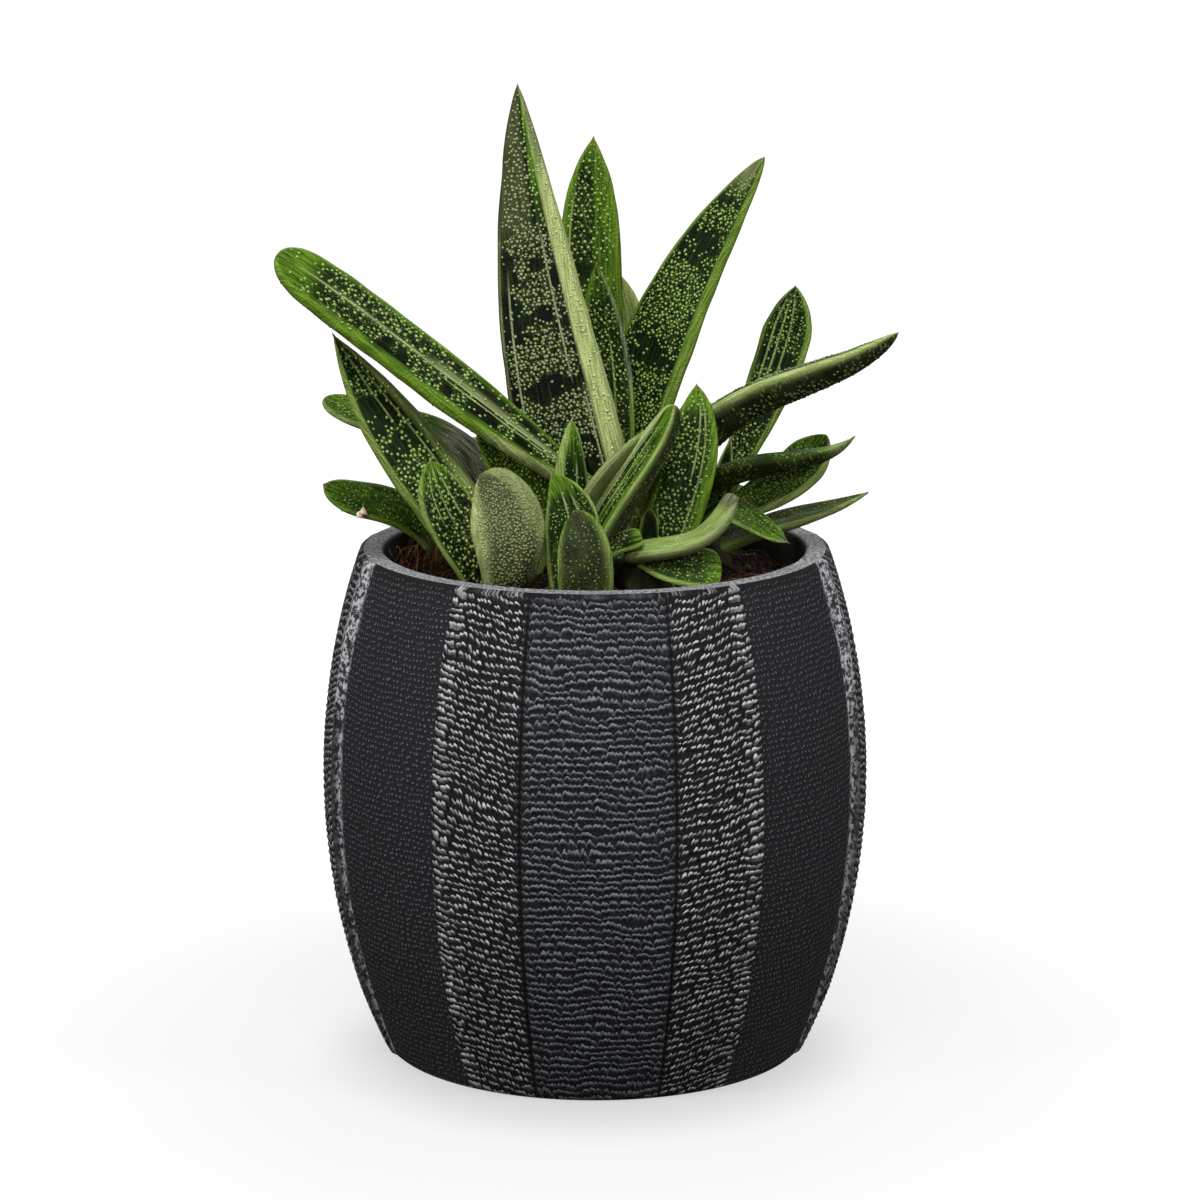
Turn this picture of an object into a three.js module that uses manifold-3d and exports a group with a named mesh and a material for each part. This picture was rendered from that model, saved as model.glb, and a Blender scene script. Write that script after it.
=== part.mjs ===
// A gasteria in a round panelled pot, in millimetres. +Z is up and -Y is the front.
// The origin is the centre of the pot's flat underside.
import * as THREE from "three";
import Module from "manifold-3d";

const wasm = await Module();
wasm.setup();
const { Manifold, Mesh } = wasm;

const DEGREE = Math.PI / 180;
const GAP = 0.3; // clearance between neighbouring pieces

const POT_HEIGHT = 140;
const BELLY_HEIGHT = 77;
const BELLY_RADIUS = 74.8;
const SIDE_ARC = 192; // radius of the arc that the pot's side follows
const FLOOR_HEIGHT = 8;
const EDGE_BEVEL = 0.8;

// The relief of the pot's side over a quarter turn from the front: degrees, then millimetres outward.
// A groove closes each wide and side seam; a raised lip stands beside each recessed panel.
const RELIEF = [
  [0, 0], [8, 0], [15.3, 0], [16, -0.7], [16.7, 0.1], [24, 0.6], [31.4, 1], [33, 1.5], [35, 1.4],
  [35.8, -0.8], [44, -0.8], [53, -0.8], [62, -0.8], [70.2, -0.8], [71, 1.4], [73, 1.5], [74.6, 1],
  [82, 0.6], [89.3, 0.1], [90, -0.7],
];
// The share of the relief that stands at each height: it fades out towards the foot and the rim.
const SIDE_LEVELS = [
  [EDGE_BEVEL, 0.3], [8, 0.6], [20, 1], [34, 1], [48, 1], [62, 1], [77, 1], [92, 1], [108, 1], [122, 1],
  [132, 0.8], [POT_HEIGHT - EDGE_BEVEL, 0.4],
];

// The cavity's radius and height, from its floor to the rim.
const CAVITY = [[50, 8], [57, 16], [64, 45], [66, 77], [63, 110], [59, 126], [57.7, 132], [57.7, 139.5]];
const RIM_INNER = 58.2;

// The soil's mound: radius and height, from the wall to the middle.
const MOUND = [[57.6, 127.6], [54, 129.6], [50, 131.6], [43, 133.5], [34, 134.8], [24, 135.8], [12, 136.5]];
const MOUND_TOP = 136.8;
const SOIL_SIDES = 30;
const BUMP = 0.55;

// Each rosette's stem: its centre, its radius at the soil and the height of its top.
const STEM_FOOT = 118;
const STEM_SIDES = 12;
const STEMS = {
  main: { x: 2, y: 0, radius: 11.5, top: 149 },
  left: { x: -26, y: -24, radius: 9.5, top: 145 },
  west: { x: -39, y: 7, radius: 7, top: 145 },
  front: { x: -5, y: -35, radius: 8, top: 143 },
  right: { x: 13, y: -30, radius: 7.5, top: 147 },
  east: { x: 29, y: 2, radius: 9, top: 146 },
  back: { x: -8, y: 30, radius: 9, top: 146 },
  rear: { x: 22, y: 34, radius: 7.5, top: 144 },
};

// Each leaf's midline runs through four points at equal shares of its length, root to tip.
// width is half its greatest breadth, depth its thickness at the keel and edge the height of its margins.
// bevel is the breadth of the slanted strips beside the face, and dish how far its middle rises.
// root is the breadth at the root as a share of width, and widest the share of the length where it peaks.
// fullness and point say how late and how bluntly it narrows, keel how far the back's ridge lies to one
// side, and face which way the face looks.
const LEAVES = [
  { name: "main_leaf_1",
    route: [[1.5, -7.5, 137], [-8.4, -8.5, 178.5], [-16, -4.5, 219], [-20.7, 1, 266]],
    width: 14.6, depth: 9, edge: 3.2, bevel: [0.8, 5.2], root: 0.9, widest: 0.2, fullness: 1.8,
    point: 0.75, dish: -0.6, keel: 0.3, face: [-0.16, -1, 0.1] },
  { name: "main_leaf_2",
    route: [[2, 9, 135.5], [0.6, 15, 178], [-0.9, 16, 214.5], [-0.1, 16, 250.5]],
    width: 8.6, depth: 5, edge: 1.8, bevel: [0.9, 1.6], root: 0.7, widest: 0.5, fullness: 4.5,
    point: 1, dish: -0.5, keel: 0, face: [0, -1, 0.1] },
  { name: "main_leaf_3",
    route: [[3, 0, 140], [4, 0, 169.5], [2.5, 1, 194], [0.5, 1, 218]],
    width: 7.2, depth: 4, edge: 1.5, bevel: [0.8, 0.8], root: 0.7, widest: 0.5, fullness: 2.2,
    point: 0.85, dish: -0.4, keel: 0, face: [-0.1, -1, 0.1] },
  { name: "main_leaf_4",
    route: [[7, 13, 139], [9.5, 21, 166], [9.5, 25, 192], [6, 26, 212]],
    width: 6.4, depth: 4, edge: 1.5, bevel: [0.8, 0.8], root: 0.7, widest: 0.5, fullness: 2.4,
    point: 0.8, dish: -0.4, keel: 0, face: [0, -1, 0.2] },
  { name: "main_leaf_5",
    route: [[5.5, 4, 136.5], [12.7, 6, 180], [27, 5, 215.5], [45.8, 1, 246.5]],
    width: 10.5, depth: 6, edge: 2.8, bevel: [0.8, 2.6], root: 0.75, widest: 0.46, fullness: 1.3,
    point: 0.66, dish: -0.8, keel: 0.2, face: [-0.5, -1, 0.15] },
  { name: "main_leaf_6",
    route: [[5, -13, 153], [-29.5, -22, 180.6], [-58.5, -24, 203.8], [-84.5, -27, 223.6]],
    width: 9.1, depth: 7.6, edge: 4, bevel: [1.2, 1.4], root: 0.2, widest: 0.5, fullness: 8,
    point: 0.5, dish: -0.5, keel: 0.1, face: [0.35, -0.68, 0.72] },
  { name: "main_leaf_7",
    route: [[12.5, -6, 144], [31.5, -11, 175.8], [56, -14, 188.6], [81, -16, 201.2]],
    width: 7.4, depth: 11, edge: 2.6, bevel: [1.2, 1.2], root: 0.8, widest: 0.35, fullness: 3.8,
    point: 0.8, dish: 0.3, keel: 0, face: [-0.3, 0.12, 0.95] },
  { name: "left_leaf_1",
    route: [[-26.5, -24, 135.5], [-39.3, -24, 156], [-53.7, -24, 176.5], [-69.8, -24, 202.3]],
    width: 9.8, depth: 5.5, edge: 2.8, bevel: [1.4, 1.6], root: 0.7, widest: 0.42, fullness: 2.7,
    point: 0.95, dish: -0.7, keel: 0, face: [0.4, -0.85, 0.35] },
  { name: "left_leaf_2",
    route: [[-28.5, -29, 133.5], [-34, -34, 146], [-40, -36, 157.5], [-44, -37, 170.5]],
    width: 8.2, depth: 4.5, edge: 1.6, bevel: [0.8, 0.8], root: 0.8, widest: 0.5, fullness: 2.8,
    point: 0.7, dish: -0.8, keel: 0, face: [0.45, -0.8, 0.4] },
  { name: "left_leaf_3",
    route: [[-25, -34, 132], [-23.4, -43, 146], [-24.4, -44, 158], [-30.6, -42, 167.6]],
    width: 10, depth: 5, edge: 1.8, bevel: [1, 1], root: 0.5, widest: 0.62, fullness: 1.7,
    point: 0.45, dish: -1, keel: -0.35, face: [0.1, 0.95, 0.3] },
  { name: "left_leaf_4",
    route: [[-20.5, -19, 136], [-18, -15, 154.5], [-23.5, -12.5, 165], [-32, -11, 174.5]],
    width: 8.4, depth: 4, edge: 1.6, bevel: [1, 1.4], root: 0.7, widest: 0.45, fullness: 2.2,
    point: 0.8, dish: -0.7, keel: 0, face: [0.3, -0.66, 0.7] },
  { name: "west_leaf_1",
    route: [[-43, 6, 139], [-53.5, 4, 148.9], [-64, 2, 152.5], [-74, 0, 157.2]],
    width: 5.9, depth: 4.5, edge: 1.8, bevel: [0.8, 0.8], root: 0.7, widest: 0.5, fullness: 3,
    point: 0.55, dish: -0.3, keel: 0, face: [0, -0.75, 0.7] },
  { name: "west_leaf_2",
    route: [[-33, 8, 140], [-36, 6, 164.5], [-57, 4, 174.3], [-73.7, 4, 180.8]],
    width: 6.6, depth: 5, edge: 2, bevel: [0.8, 0.8], root: 0.9, widest: 0.5, fullness: 2.8,
    point: 0.5, dish: -0.3, keel: 0, face: [0.1, -0.5, 0.8] },
  { name: "front_leaf_1",
    route: [[-6, -30, 137.5], [-7, -30, 153], [-7, -30, 167], [-6.5, -30, 180.5]],
    width: 5.6, depth: 5, edge: 2.4, bevel: [2.2, 1], root: 0.85, widest: 0.45, fullness: 2.2,
    point: 0.85, dish: -0.2, keel: -0.3, face: [0.55, -0.8, 0.1] },
  { name: "front_leaf_2",
    route: [[-5, -38, 130.5], [-6, -38, 144], [-7, -38, 156], [-12, -36, 167]],
    width: 7.8, depth: 4.5, edge: 1.6, bevel: [0.8, 0.8], root: 0.8, widest: 0.5, fullness: 2.2,
    point: 0.85, dish: -1, keel: 0, face: [0.1, -0.9, 0.35] },
  { name: "front_leaf_3",
    route: [[-3, -44, 127.5], [-3, -48, 139], [-3.5, -49, 149.5], [-5.5, -47, 159]],
    width: 7.4, depth: 4, edge: 1.4, bevel: [0.6, 0.6], root: 0.75, widest: 0.42, fullness: 2.7,
    point: 0.62, dish: -0.8, keel: 0.25, face: [0, 0.95, 0.25] },
  { name: "front_leaf_4",
    route: [[-3.5, -32, 136], [4.5, -32, 155], [13.6, -32, 169.5], [20.9, -33, 184.4]],
    width: 8.8, depth: 9, edge: 1.2, bevel: [1.4, 0.6], root: 0.8, widest: 0.55, fullness: 3.2,
    point: 0.5, dish: -0.2, keel: 0, face: [-0.75, -0.25, 0.65] },
  { name: "right_leaf_4",
    route: [[-2, -36, 141], [3, -38, 146.5], [7.5, -39.5, 149], [12, -40, 150.5]],
    width: 3.6, depth: 2.6, edge: 1, bevel: [0.5, 0.5], root: 1, widest: 0.5, fullness: 6,
    point: 0.25, dish: -0.4, keel: 0, face: [-0.2, -0.6, 0.75] },
  { name: "right_leaf_1",
    route: [[15, -28, 135], [20.5, -24, 152.5], [25.5, -22, 170.5], [27, -20, 188]],
    width: 8, depth: 5.5, edge: 2.6, bevel: [1.2, 1.4], root: 0.75, widest: 0.45, fullness: 2.6,
    point: 0.85, dish: -0.7, keel: 0, face: [-0.1, -0.95, 0.25] },
  { name: "right_leaf_2",
    route: [[9.5, -36, 145], [19.5, -41, 147.8], [29, -43, 152], [36, -42, 162.5]],
    width: 4.3, depth: 5, edge: 3, bevel: [1, 1], root: 1, widest: 0.4, fullness: 5,
    point: 0.3, dish: 0.1, keel: 0, face: [-0.2, -0.25, 0.95] },
  { name: "right_leaf_3",
    route: [[9.5, -34, 143], [17, -40, 142.6], [25, -43, 142.6], [33, -43, 141.7]],
    width: 6.2, depth: 3, edge: 1.4, bevel: [0.6, 0.9], root: 0.1, widest: 0.8, fullness: 3,
    point: 0.5, dish: -0.8, keel: 0, face: [0.05, -0.75, 0.65] },
  { name: "east_leaf_1",
    route: [[31, 9, 139.5], [41, 13, 164.5], [50.4, 16, 187], [55.5, 17, 209.3]],
    width: 6.9, depth: 5, edge: 1.8, bevel: [0.8, 1.2], root: 0.1, widest: 0.8, fullness: 1.7,
    point: 0.8, dish: -0.6, keel: 0, face: [-0.2, -1, 0.2] },
  { name: "east_leaf_6",
    route: [[29, 6, 142], [33.5, 7, 153], [36, 7, 161.5], [37.5, 7, 169]],
    width: 2.5, depth: 2.4, edge: 0.8, bevel: [0.4, 0.4], root: 0.9, widest: 0.4, fullness: 2,
    point: 0.9, dish: 0, keel: 0, face: [0, -1, 0.1] },
  { name: "east_leaf_2",
    route: [[26, -2, 144], [35.5, -9, 161.5], [53, -15, 166.5], [69.5, -17, 173.1]],
    width: 5.4, depth: 7.2, edge: 2.2, bevel: [1, 1], root: 0.9, widest: 0.4, fullness: 2.2,
    point: 0.85, dish: 0.2, keel: 0, face: [-0.2, 0.05, 0.95] },
  { name: "east_leaf_3",
    route: [[26.5, 0, 140.5], [40.5, -1, 151], [52.5, 0, 158.5], [63.5, 1, 170.6]],
    width: 7.9, depth: 5, edge: 2.8, bevel: [1, 1], root: 0.12, widest: 0.8, fullness: 2,
    point: 0.7, dish: -1.4, keel: 0, face: [-0.3, -0.6, 0.75] },
  { name: "east_leaf_4",
    route: [[33, 3, 138.5], [47, 0, 145], [60.5, -2, 149.5], [74.5, -4, 155.4]],
    width: 5.3, depth: 5, edge: 1.8, bevel: [0.8, 0.8], root: 0.9, widest: 0.35, fullness: 2.2,
    point: 0.85, dish: -0.2, keel: 0, face: [-0.2, -0.25, 0.9] },
  { name: "east_leaf_5",
    route: [[28, -2, 142], [34, -9, 151.5], [43, -13, 149], [52, -16, 144]],
    width: 5.4, depth: 3.5, edge: 1.2, bevel: [0.6, 0.6], root: 0.8, widest: 0.5, fullness: 2.2,
    point: 0.8, dish: -0.2, keel: 0, face: [0.3, -0.5, 0.8] },
  { name: "main_leaf_8",
    route: [[-6.5, -26, 147], [0.5, -24, 161], [8.5, -22, 170], [16, -21, 177.5]],
    width: 7.5, depth: 4.6, edge: 2.6, bevel: [1, 1], root: 0.8, widest: 0.4, fullness: 2.4,
    point: 0.7, dish: -0.3, keel: 0, face: [-0.5, 0.3, 0.8] },
];

// The leaves behind, which share one form: the way each leans (degrees from +X towards +Y), how far its tip
// reaches from the stem, its tip's height, its half breadth, and how much it arches.
const BACK_FORM = {
  edge: 1.8, bevel: [0.9, 0.9], root: 0.9, widest: 0.45, fullness: 2.4, point: 0.7, dish: -0.7, keel: 0,
  stations: 8,
};
const BACK_LEAVES = [
  { stem: "main", number: 9, lean: 125, reach: 36, tip: 186, width: 8, arch: 0.1 },
  { stem: "main", number: 10, lean: 44, reach: 50, tip: 174, width: 8, arch: 0.16 },
  { stem: "main", number: 11, lean: 158, reach: 40, tip: 164, width: 7, arch: 0.2 },
  { stem: "back", number: 1, lean: 78, reach: 36, tip: 170, width: 8, arch: 0.16 },
  { stem: "back", number: 2, lean: 140, reach: 38, tip: 160, width: 7, arch: 0.22 },
  { stem: "back", number: 3, lean: 188, reach: 34, tip: 152, width: 6.5, arch: 0.3 },
  { stem: "back", number: 4, lean: 285, reach: 9, tip: 180, width: 6.5, arch: 0.05 },
  { stem: "back", number: 5, lean: 22, reach: 24, tip: 160, width: 6.5, arch: 0.2 },
  { stem: "back", number: 6, lean: 235, reach: 14, tip: 168, width: 6, arch: 0.05 },
  { stem: "rear", number: 1, lean: 72, reach: 28, tip: 163, width: 7, arch: 0.2 },
  { stem: "rear", number: 2, lean: 22, reach: 32, tip: 156, width: 6.5, arch: 0.24 },
  { stem: "rear", number: 3, lean: 335, reach: 24, tip: 150, width: 5.5, arch: 0.3 },
  { stem: "rear", number: 4, lean: 135, reach: 20, tip: 164, width: 6, arch: 0.12 },
  { stem: "rear", number: 5, lean: 210, reach: 13, tip: 165, width: 5.5, arch: 0.08 },
  { stem: "west", number: 3, lean: 110, reach: 30, tip: 156, width: 6, arch: 0.25 },
  { stem: "west", number: 4, lean: 165, reach: 32, tip: 147, width: 5.5, arch: 0.35 },
  { stem: "west", number: 5, lean: 55, reach: 17, tip: 161, width: 5.5, arch: 0.12 },
  { stem: "east", number: 7, lean: 100, reach: 26, tip: 163, width: 5.5, arch: 0.15 },
];
const STATIONS = 10; // rings along a leaf that names no other count

const up = new THREE.Vector3(0, 0, 1);

// A closed solid through rings of equally many points, with a fan to a point at each end.
function loft(rings, first, last) {
  const size = rings[0].length;
  const points = [...rings.flat(), first, last];
  const faces = [];
  const end = (rings.length - 1) * size;
  for (let j = 0; j < size; j++) {
    const next = (j + 1) % size;
    for (let start = 0; start < end; start += size) {
      faces.push(start + j, start + next, start + size + next);
      faces.push(start + j, start + size + next, start + size + j);
    }
    faces.push(j, points.length - 2, next);
    faces.push(end + j, end + next, points.length - 1);
  }
  return new Manifold(new Mesh({
    numProp: 3,
    vertProperties: new Float32Array(points.flatMap((p) => [p.x, p.y, p.z])),
    triVerts: new Uint32Array(faces),
  }));
}

// A point at an angle from the front, turning towards +X.
function around(angle, radius, height) {
  return new THREE.Vector3(radius * Math.sin(angle), -radius * Math.cos(angle), height);
}

function circle(radius, height, sides, x = 0, y = 0) {
  const centre = new THREE.Vector3(x, y, 0);
  const turn = (2 * Math.PI) / sides;
  return Array.from({ length: sides }, (_, i) => around(i * turn, radius, height).add(centre));
}

function sideRadius(height) {
  const rise = height - BELLY_HEIGHT;
  return BELLY_RADIUS - SIDE_ARC + Math.sqrt(SIDE_ARC ** 2 - rise ** 2);
}

// The relief over a whole turn: the quarter, then its mirror image, twice.
function reliefTurn() {
  const turn = [];
  for (let quarter = 0; quarter < 4; quarter++) {
    const mirrored = quarter % 2 === 1;
    const steps = mirrored ? [...RELIEF].reverse() : RELIEF;
    for (const [degrees, outward] of steps.slice(0, -1)) {
      const within = mirrored ? 90 - degrees : degrees;
      turn.push({ angle: (quarter * 90 + within) * DEGREE, outward });
    }
  }
  return turn;
}

function pot() {
  const turn = reliefTurn();
  const ring = (radius, height, share) =>
    turn.map(({ angle, outward }) => around(angle, radius + share * outward, height));
  const rings = [ring(sideRadius(0) - EDGE_BEVEL, 0, 0)];
  for (const [height, share] of SIDE_LEVELS) rings.push(ring(sideRadius(height), height, share));
  rings.push(ring(sideRadius(POT_HEIGHT) - EDGE_BEVEL, POT_HEIGHT, 0));
  rings.push(ring(RIM_INNER, POT_HEIGHT, 0));
  for (const [radius, height] of [...CAVITY].reverse()) rings.push(ring(radius, height, 0));
  return loft(rings, new THREE.Vector3(0, 0, 0), new THREE.Vector3(0, 0, FLOOR_HEIGHT));
}

// The soil fills the cavity and rises in an uneven mound. raise lifts its top, to clear the leaves from it.
function soil(raise = 0) {
  const rings = CAVITY.filter(([, height]) => height < MOUND[0][1])
    .map(([radius, height]) => circle(radius - GAP, height + GAP, SOIL_SIDES));
  MOUND.forEach(([radius, height], level) => {
    const ring = circle(radius, height + raise, SOIL_SIDES);
    ring.forEach((point, i) => {
      const angle = (i / SOIL_SIDES) * 2 * Math.PI;
      point.z += BUMP * (Math.sin(5 * angle + level * 1.7) + Math.sin(11 * angle - level * 2.3));
    });
    rings.push(ring);
  });
  const bottom = new THREE.Vector3(0, 0, FLOOR_HEIGHT + GAP);
  return loft(rings, bottom, new THREE.Vector3(0, 0, MOUND_TOP + raise));
}

function stem({ x, y, radius, top }, grow = 0) {
  const levels = [
    [0.85, STEM_FOOT - grow], [1, 128], [1, 134], [0.85, top - 7], [0.62, top - 2.5], [0.35, top - 0.6],
  ];
  const rings = levels.map(([share, height]) => circle(radius * share + grow, height, STEM_SIDES, x, y));
  return loft(rings, new THREE.Vector3(x, y, STEM_FOOT - grow), new THREE.Vector3(x, y, top + grow));
}

// The cubic through the route's four points, at share t of its length.
function along(route, t) {
  const knots = [0, 1 / 3, 2 / 3, 1];
  const point = new THREE.Vector3();
  knots.forEach((knot, i) => {
    const others = knots.filter((other) => other !== knot);
    const weight = others.reduce((product, other) => (product * (t - other)) / (knot - other), 1);
    point.addScaledVector(route[i], weight);
  });
  return point;
}

function breadth(leaf, t) {
  const { root, widest, fullness, point } = leaf;
  if (t < widest) return root + (1 - root) * Math.sin(((Math.PI / 2) * t) / widest);
  return Math.max(0, 1 - ((t - widest) / (1 - widest)) ** fullness) ** point;
}

// A leaf's cross-section: a face between two slanted strips, two margins and a keeled back, as
// distances across and up from the middle of the face.
function crossSection(half, depth, edge, bevel, dish, keel) {
  const margin = Math.min(edge, half * 0.9, depth * 0.8);
  const [left, right] = bevel.map((strip) => Math.min(strip, half * 0.5));
  const ridge = keel * half;
  const shoulder = -margin - (depth - margin) * 0.72;
  return [
    [left - half, 0],
    [(left - right) / 2, dish * Math.min(1, half / 6)],
    [half - right, 0],
    [half, -margin * 0.55],
    [(half + ridge) / 2, shoulder],
    [ridge, -depth],
    [(ridge - half) / 2, shoulder],
    [-half, -margin * 0.55],
  ];
}

// A leaf as one solid, all its surfaces moved outward by grow.
function blade(leaf, grow = 0) {
  const route = leaf.route.map((point) => new THREE.Vector3(...point));
  const face = new THREE.Vector3(...leaf.face).normalize();
  const rings = [];
  const stations = leaf.stations ?? STATIONS;
  for (let i = 0; i < stations; i++) {
    const t = 1 - (1 - i / stations) ** 1.5;
    const centre = along(route, t);
    const heading = along(route, t + 0.001).sub(along(route, t - 0.001)).normalize();
    const normal = face.clone().addScaledVector(heading, -face.dot(heading)).normalize();
    const across = heading.clone().cross(normal);
    const share = breadth(leaf, t);
    const taper = t > leaf.widest ? Math.min(1, share ** 0.7) : 1;
    const half = Math.max(leaf.width * share, 0.3);
    const depth = Math.max(leaf.depth * (1 - 0.35 * t) * taper, 0.6);
    const edge = Math.max(leaf.edge * taper, 0.3);
    const bevel = leaf.bevel.map((strip) => strip * taper);
    const section = crossSection(half, depth, edge, bevel, leaf.dish * taper, leaf.keel);
    rings.push(section.map(([side, height]) => {
      const wider = side * (1 + grow / half);
      const taller = (height + depth / 2) * (1 + (2 * grow) / depth) - depth / 2;
      return centre.clone().addScaledVector(across, wider).addScaledVector(normal, taller + depth * 0.4);
    }));
  }
  const middle = new THREE.Vector3();
  for (const point of rings[0]) middle.addScaledVector(point, 1 / rings[0].length);
  return loft(rings, middle, along(route, 1 + grow / 50));
}

function backLeaf({ stem: owner, number, lean, reach, tip, width, arch }) {
  const { x, y, top, radius } = STEMS[owner];
  const way = new THREE.Vector3(Math.cos(lean * DEGREE), Math.sin(lean * DEGREE), 0);
  const root = top - 8;
  const route = [0, 1 / 3, 2 / 3, 1].map((t) => {
    const out = radius / 2 + (reach - radius / 2) * t;
    const bow = arch * 4 * t * (1 - t) * 0.75 * reach;
    return [x + way.x * out, y + way.y * out, root + (tip - root) * t + bow];
  });
  const slope = (tip - root) / reach;
  const face = way.clone().multiplyScalar(-slope).addScaledVector(up, 1).toArray();
  return { ...BACK_FORM, name: `${owner}_leaf_${number}`, route, width, depth: width * 0.6, face };
}

function largest(solid) {
  return solid.decompose().reduce((a, b) => (a.volume() > b.volume() ? a : b));
}

// Every leaf stands clear of the soil, the stems and the leaves listed before it.
function trimmedLeaves() {
  const leaves = [...LEAVES, ...BACK_LEAVES.map(backLeaf)];
  const ground = Manifold.union([soil(GAP), ...Object.values(STEMS).map((post) => stem(post, GAP))]);
  const kept = [];
  for (const leaf of leaves) {
    let solid = blade(leaf).subtract(ground);
    for (const other of kept) solid = solid.subtract(other.grown);
    kept.push({ name: leaf.name, solid: largest(solid), grown: blade(leaf, GAP) });
  }
  return kept;
}

function meshOf(name, solid, color, roughness) {
  const { vertProperties, triVerts } = solid.getMesh();
  const geometry = new THREE.BufferGeometry();
  geometry.setAttribute("position", new THREE.BufferAttribute(vertProperties, 3));
  geometry.setIndex(new THREE.BufferAttribute(triVerts, 1));
  const material = new THREE.MeshStandardMaterial({ color, roughness, flatShading: true });
  const mesh = new THREE.Mesh(geometry, material);
  mesh.name = name;
  return mesh;
}

const plant = new THREE.Group();
plant.name = "potted_gasteria";
plant.add(meshOf("pot", pot(), 0x2f3033, 0.4));
const holes = Manifold.union(Object.values(STEMS).map((post) => stem(post, GAP)));
plant.add(meshOf("soil", largest(soil().subtract(holes)), 0x4a3122, 0.95));
for (const [name, post] of Object.entries(STEMS)) {
  plant.add(meshOf(`stem_${name}`, stem(post), 0x6d7a4a, 0.7));
}
for (const { name, solid } of trimmedLeaves()) {
  plant.add(meshOf(name, solid, 0x3f5f2f, 0.5));
}

export default plant;
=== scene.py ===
"""A gasteria in a round panelled pot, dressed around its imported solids.

The leaves, soil, stems and pot are finer pieces on the same routes, sections and profiles as the solids
that they replace. Lengths are in millimetres until a mesh is made, and angles on the pot run in degrees
from the front (-Y) towards +X.
"""
import math

import bpy
import numpy as np
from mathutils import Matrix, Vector


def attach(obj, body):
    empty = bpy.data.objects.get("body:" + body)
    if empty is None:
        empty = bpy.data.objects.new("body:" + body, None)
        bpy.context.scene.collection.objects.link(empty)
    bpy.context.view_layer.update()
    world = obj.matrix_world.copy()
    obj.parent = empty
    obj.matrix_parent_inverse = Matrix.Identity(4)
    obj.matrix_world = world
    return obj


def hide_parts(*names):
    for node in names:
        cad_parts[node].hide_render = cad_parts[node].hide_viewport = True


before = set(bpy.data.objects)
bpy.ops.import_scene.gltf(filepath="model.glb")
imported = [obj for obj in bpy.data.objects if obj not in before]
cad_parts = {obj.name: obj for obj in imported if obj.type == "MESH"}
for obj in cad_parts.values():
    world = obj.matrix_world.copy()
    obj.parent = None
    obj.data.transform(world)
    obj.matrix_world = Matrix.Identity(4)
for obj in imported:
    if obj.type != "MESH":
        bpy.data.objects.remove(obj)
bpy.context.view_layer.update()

MM = 0.001
MAX_LINES = 3  # the stripes that a leaf can have
BEAD_BLEND = 0.3  # how much of a leaf dot's own colour shows at its edge

# ---------------------------------------------------------------------------- repeatable noise


def hashed(column, row, seed):
    """A repeatable value from 0 to 1 for each pair of whole numbers."""
    value = np.sin(column * 127.1 + row * 311.7 + seed * 74.7) * 43758.5453
    return value - np.floor(value)


def smooth(low, high, value):
    """0 below low, 1 above high, and an eased step between."""
    share = np.clip((value - low) / (high - low), 0, 1)
    return share * share * (3 - 2 * share)


def noise(x, y, seed, turn=None):
    """Smooth noise from -1 to 1. Its columns repeat after turn whole steps where that is given."""
    left, low = np.floor(x), np.floor(y)
    fx, fy = smooth(0, 1, x - left), smooth(0, 1, y - low)

    def corner(dx, dy):
        column = left + dx
        return hashed(column % turn if turn else column, low + dy, seed)

    bottom = corner(0, 0) * (1 - fx) + corner(1, 0) * fx
    top = corner(0, 1) * (1 - fx) + corner(1, 1) * fx
    return 2 * (bottom * (1 - fy) + top * fy) - 1


# ---------------------------------------------------------------------------- meshes


class Build:
    """The points, faces and point attributes of one piece."""

    def __init__(self):
        self.points, self.faces, self.values = [], [], {}
        self.count = 0

    def add(self, points, faces, **values):
        """points is n by 3, faces a list of index arrays of one width each, and each value n by 3."""
        points = np.asarray(points, float).reshape(-1, 3)
        self.points.append(points)
        self.faces += [np.asarray(block, int) + self.count for block in faces if len(block)]
        for name, value in values.items():
            block = np.broadcast_to(np.asarray(value, float), points.shape)
            self.values.setdefault(name, []).append(block)
        self.count += len(points)

    def piece(self, name, material, slot, *nodes):
        points = np.concatenate(self.points) * MM
        mesh = bpy.data.meshes.new(name)
        mesh.vertices.add(len(points))
        mesh.vertices.foreach_set("co", points.ravel())
        corners = np.concatenate([block.ravel() for block in self.faces])
        sizes = np.concatenate([np.full(len(block), block.shape[1]) for block in self.faces])
        starts = np.concatenate([[0], np.cumsum(sizes)[:-1]])
        mesh.loops.add(len(corners))
        mesh.loops.foreach_set("vertex_index", corners)
        mesh.polygons.add(len(sizes))
        mesh.polygons.foreach_set("loop_start", starts)
        mesh.polygons.foreach_set("loop_total", sizes)
        mesh.polygons.foreach_set("use_smooth", np.ones(len(sizes), bool))
        for key, blocks in self.values.items():
            attribute = mesh.attributes.new(key, "FLOAT_VECTOR", "POINT")
            attribute.data.foreach_set("vector", np.concatenate(blocks).ravel())
        mesh.update()
        mesh.validate()
        mesh.materials.append(material)
        made = placed(name, mesh)
        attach(made, "root")
        if nodes:
            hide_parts(*nodes)


def placed(name, data):
    """A new object in the scene."""
    made = bpy.data.objects.new(name, data)
    bpy.context.scene.collection.objects.link(made)
    return made


def turned(radius, turn, height):
    """Points at a radius and height, turned from the front towards +X by radians."""
    return np.stack(np.broadcast_arrays(radius * np.sin(turn), -radius * np.cos(turn), height), -1)


def full_turn(sides):
    return np.arange(sides) * 2 * np.pi / sides


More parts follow.
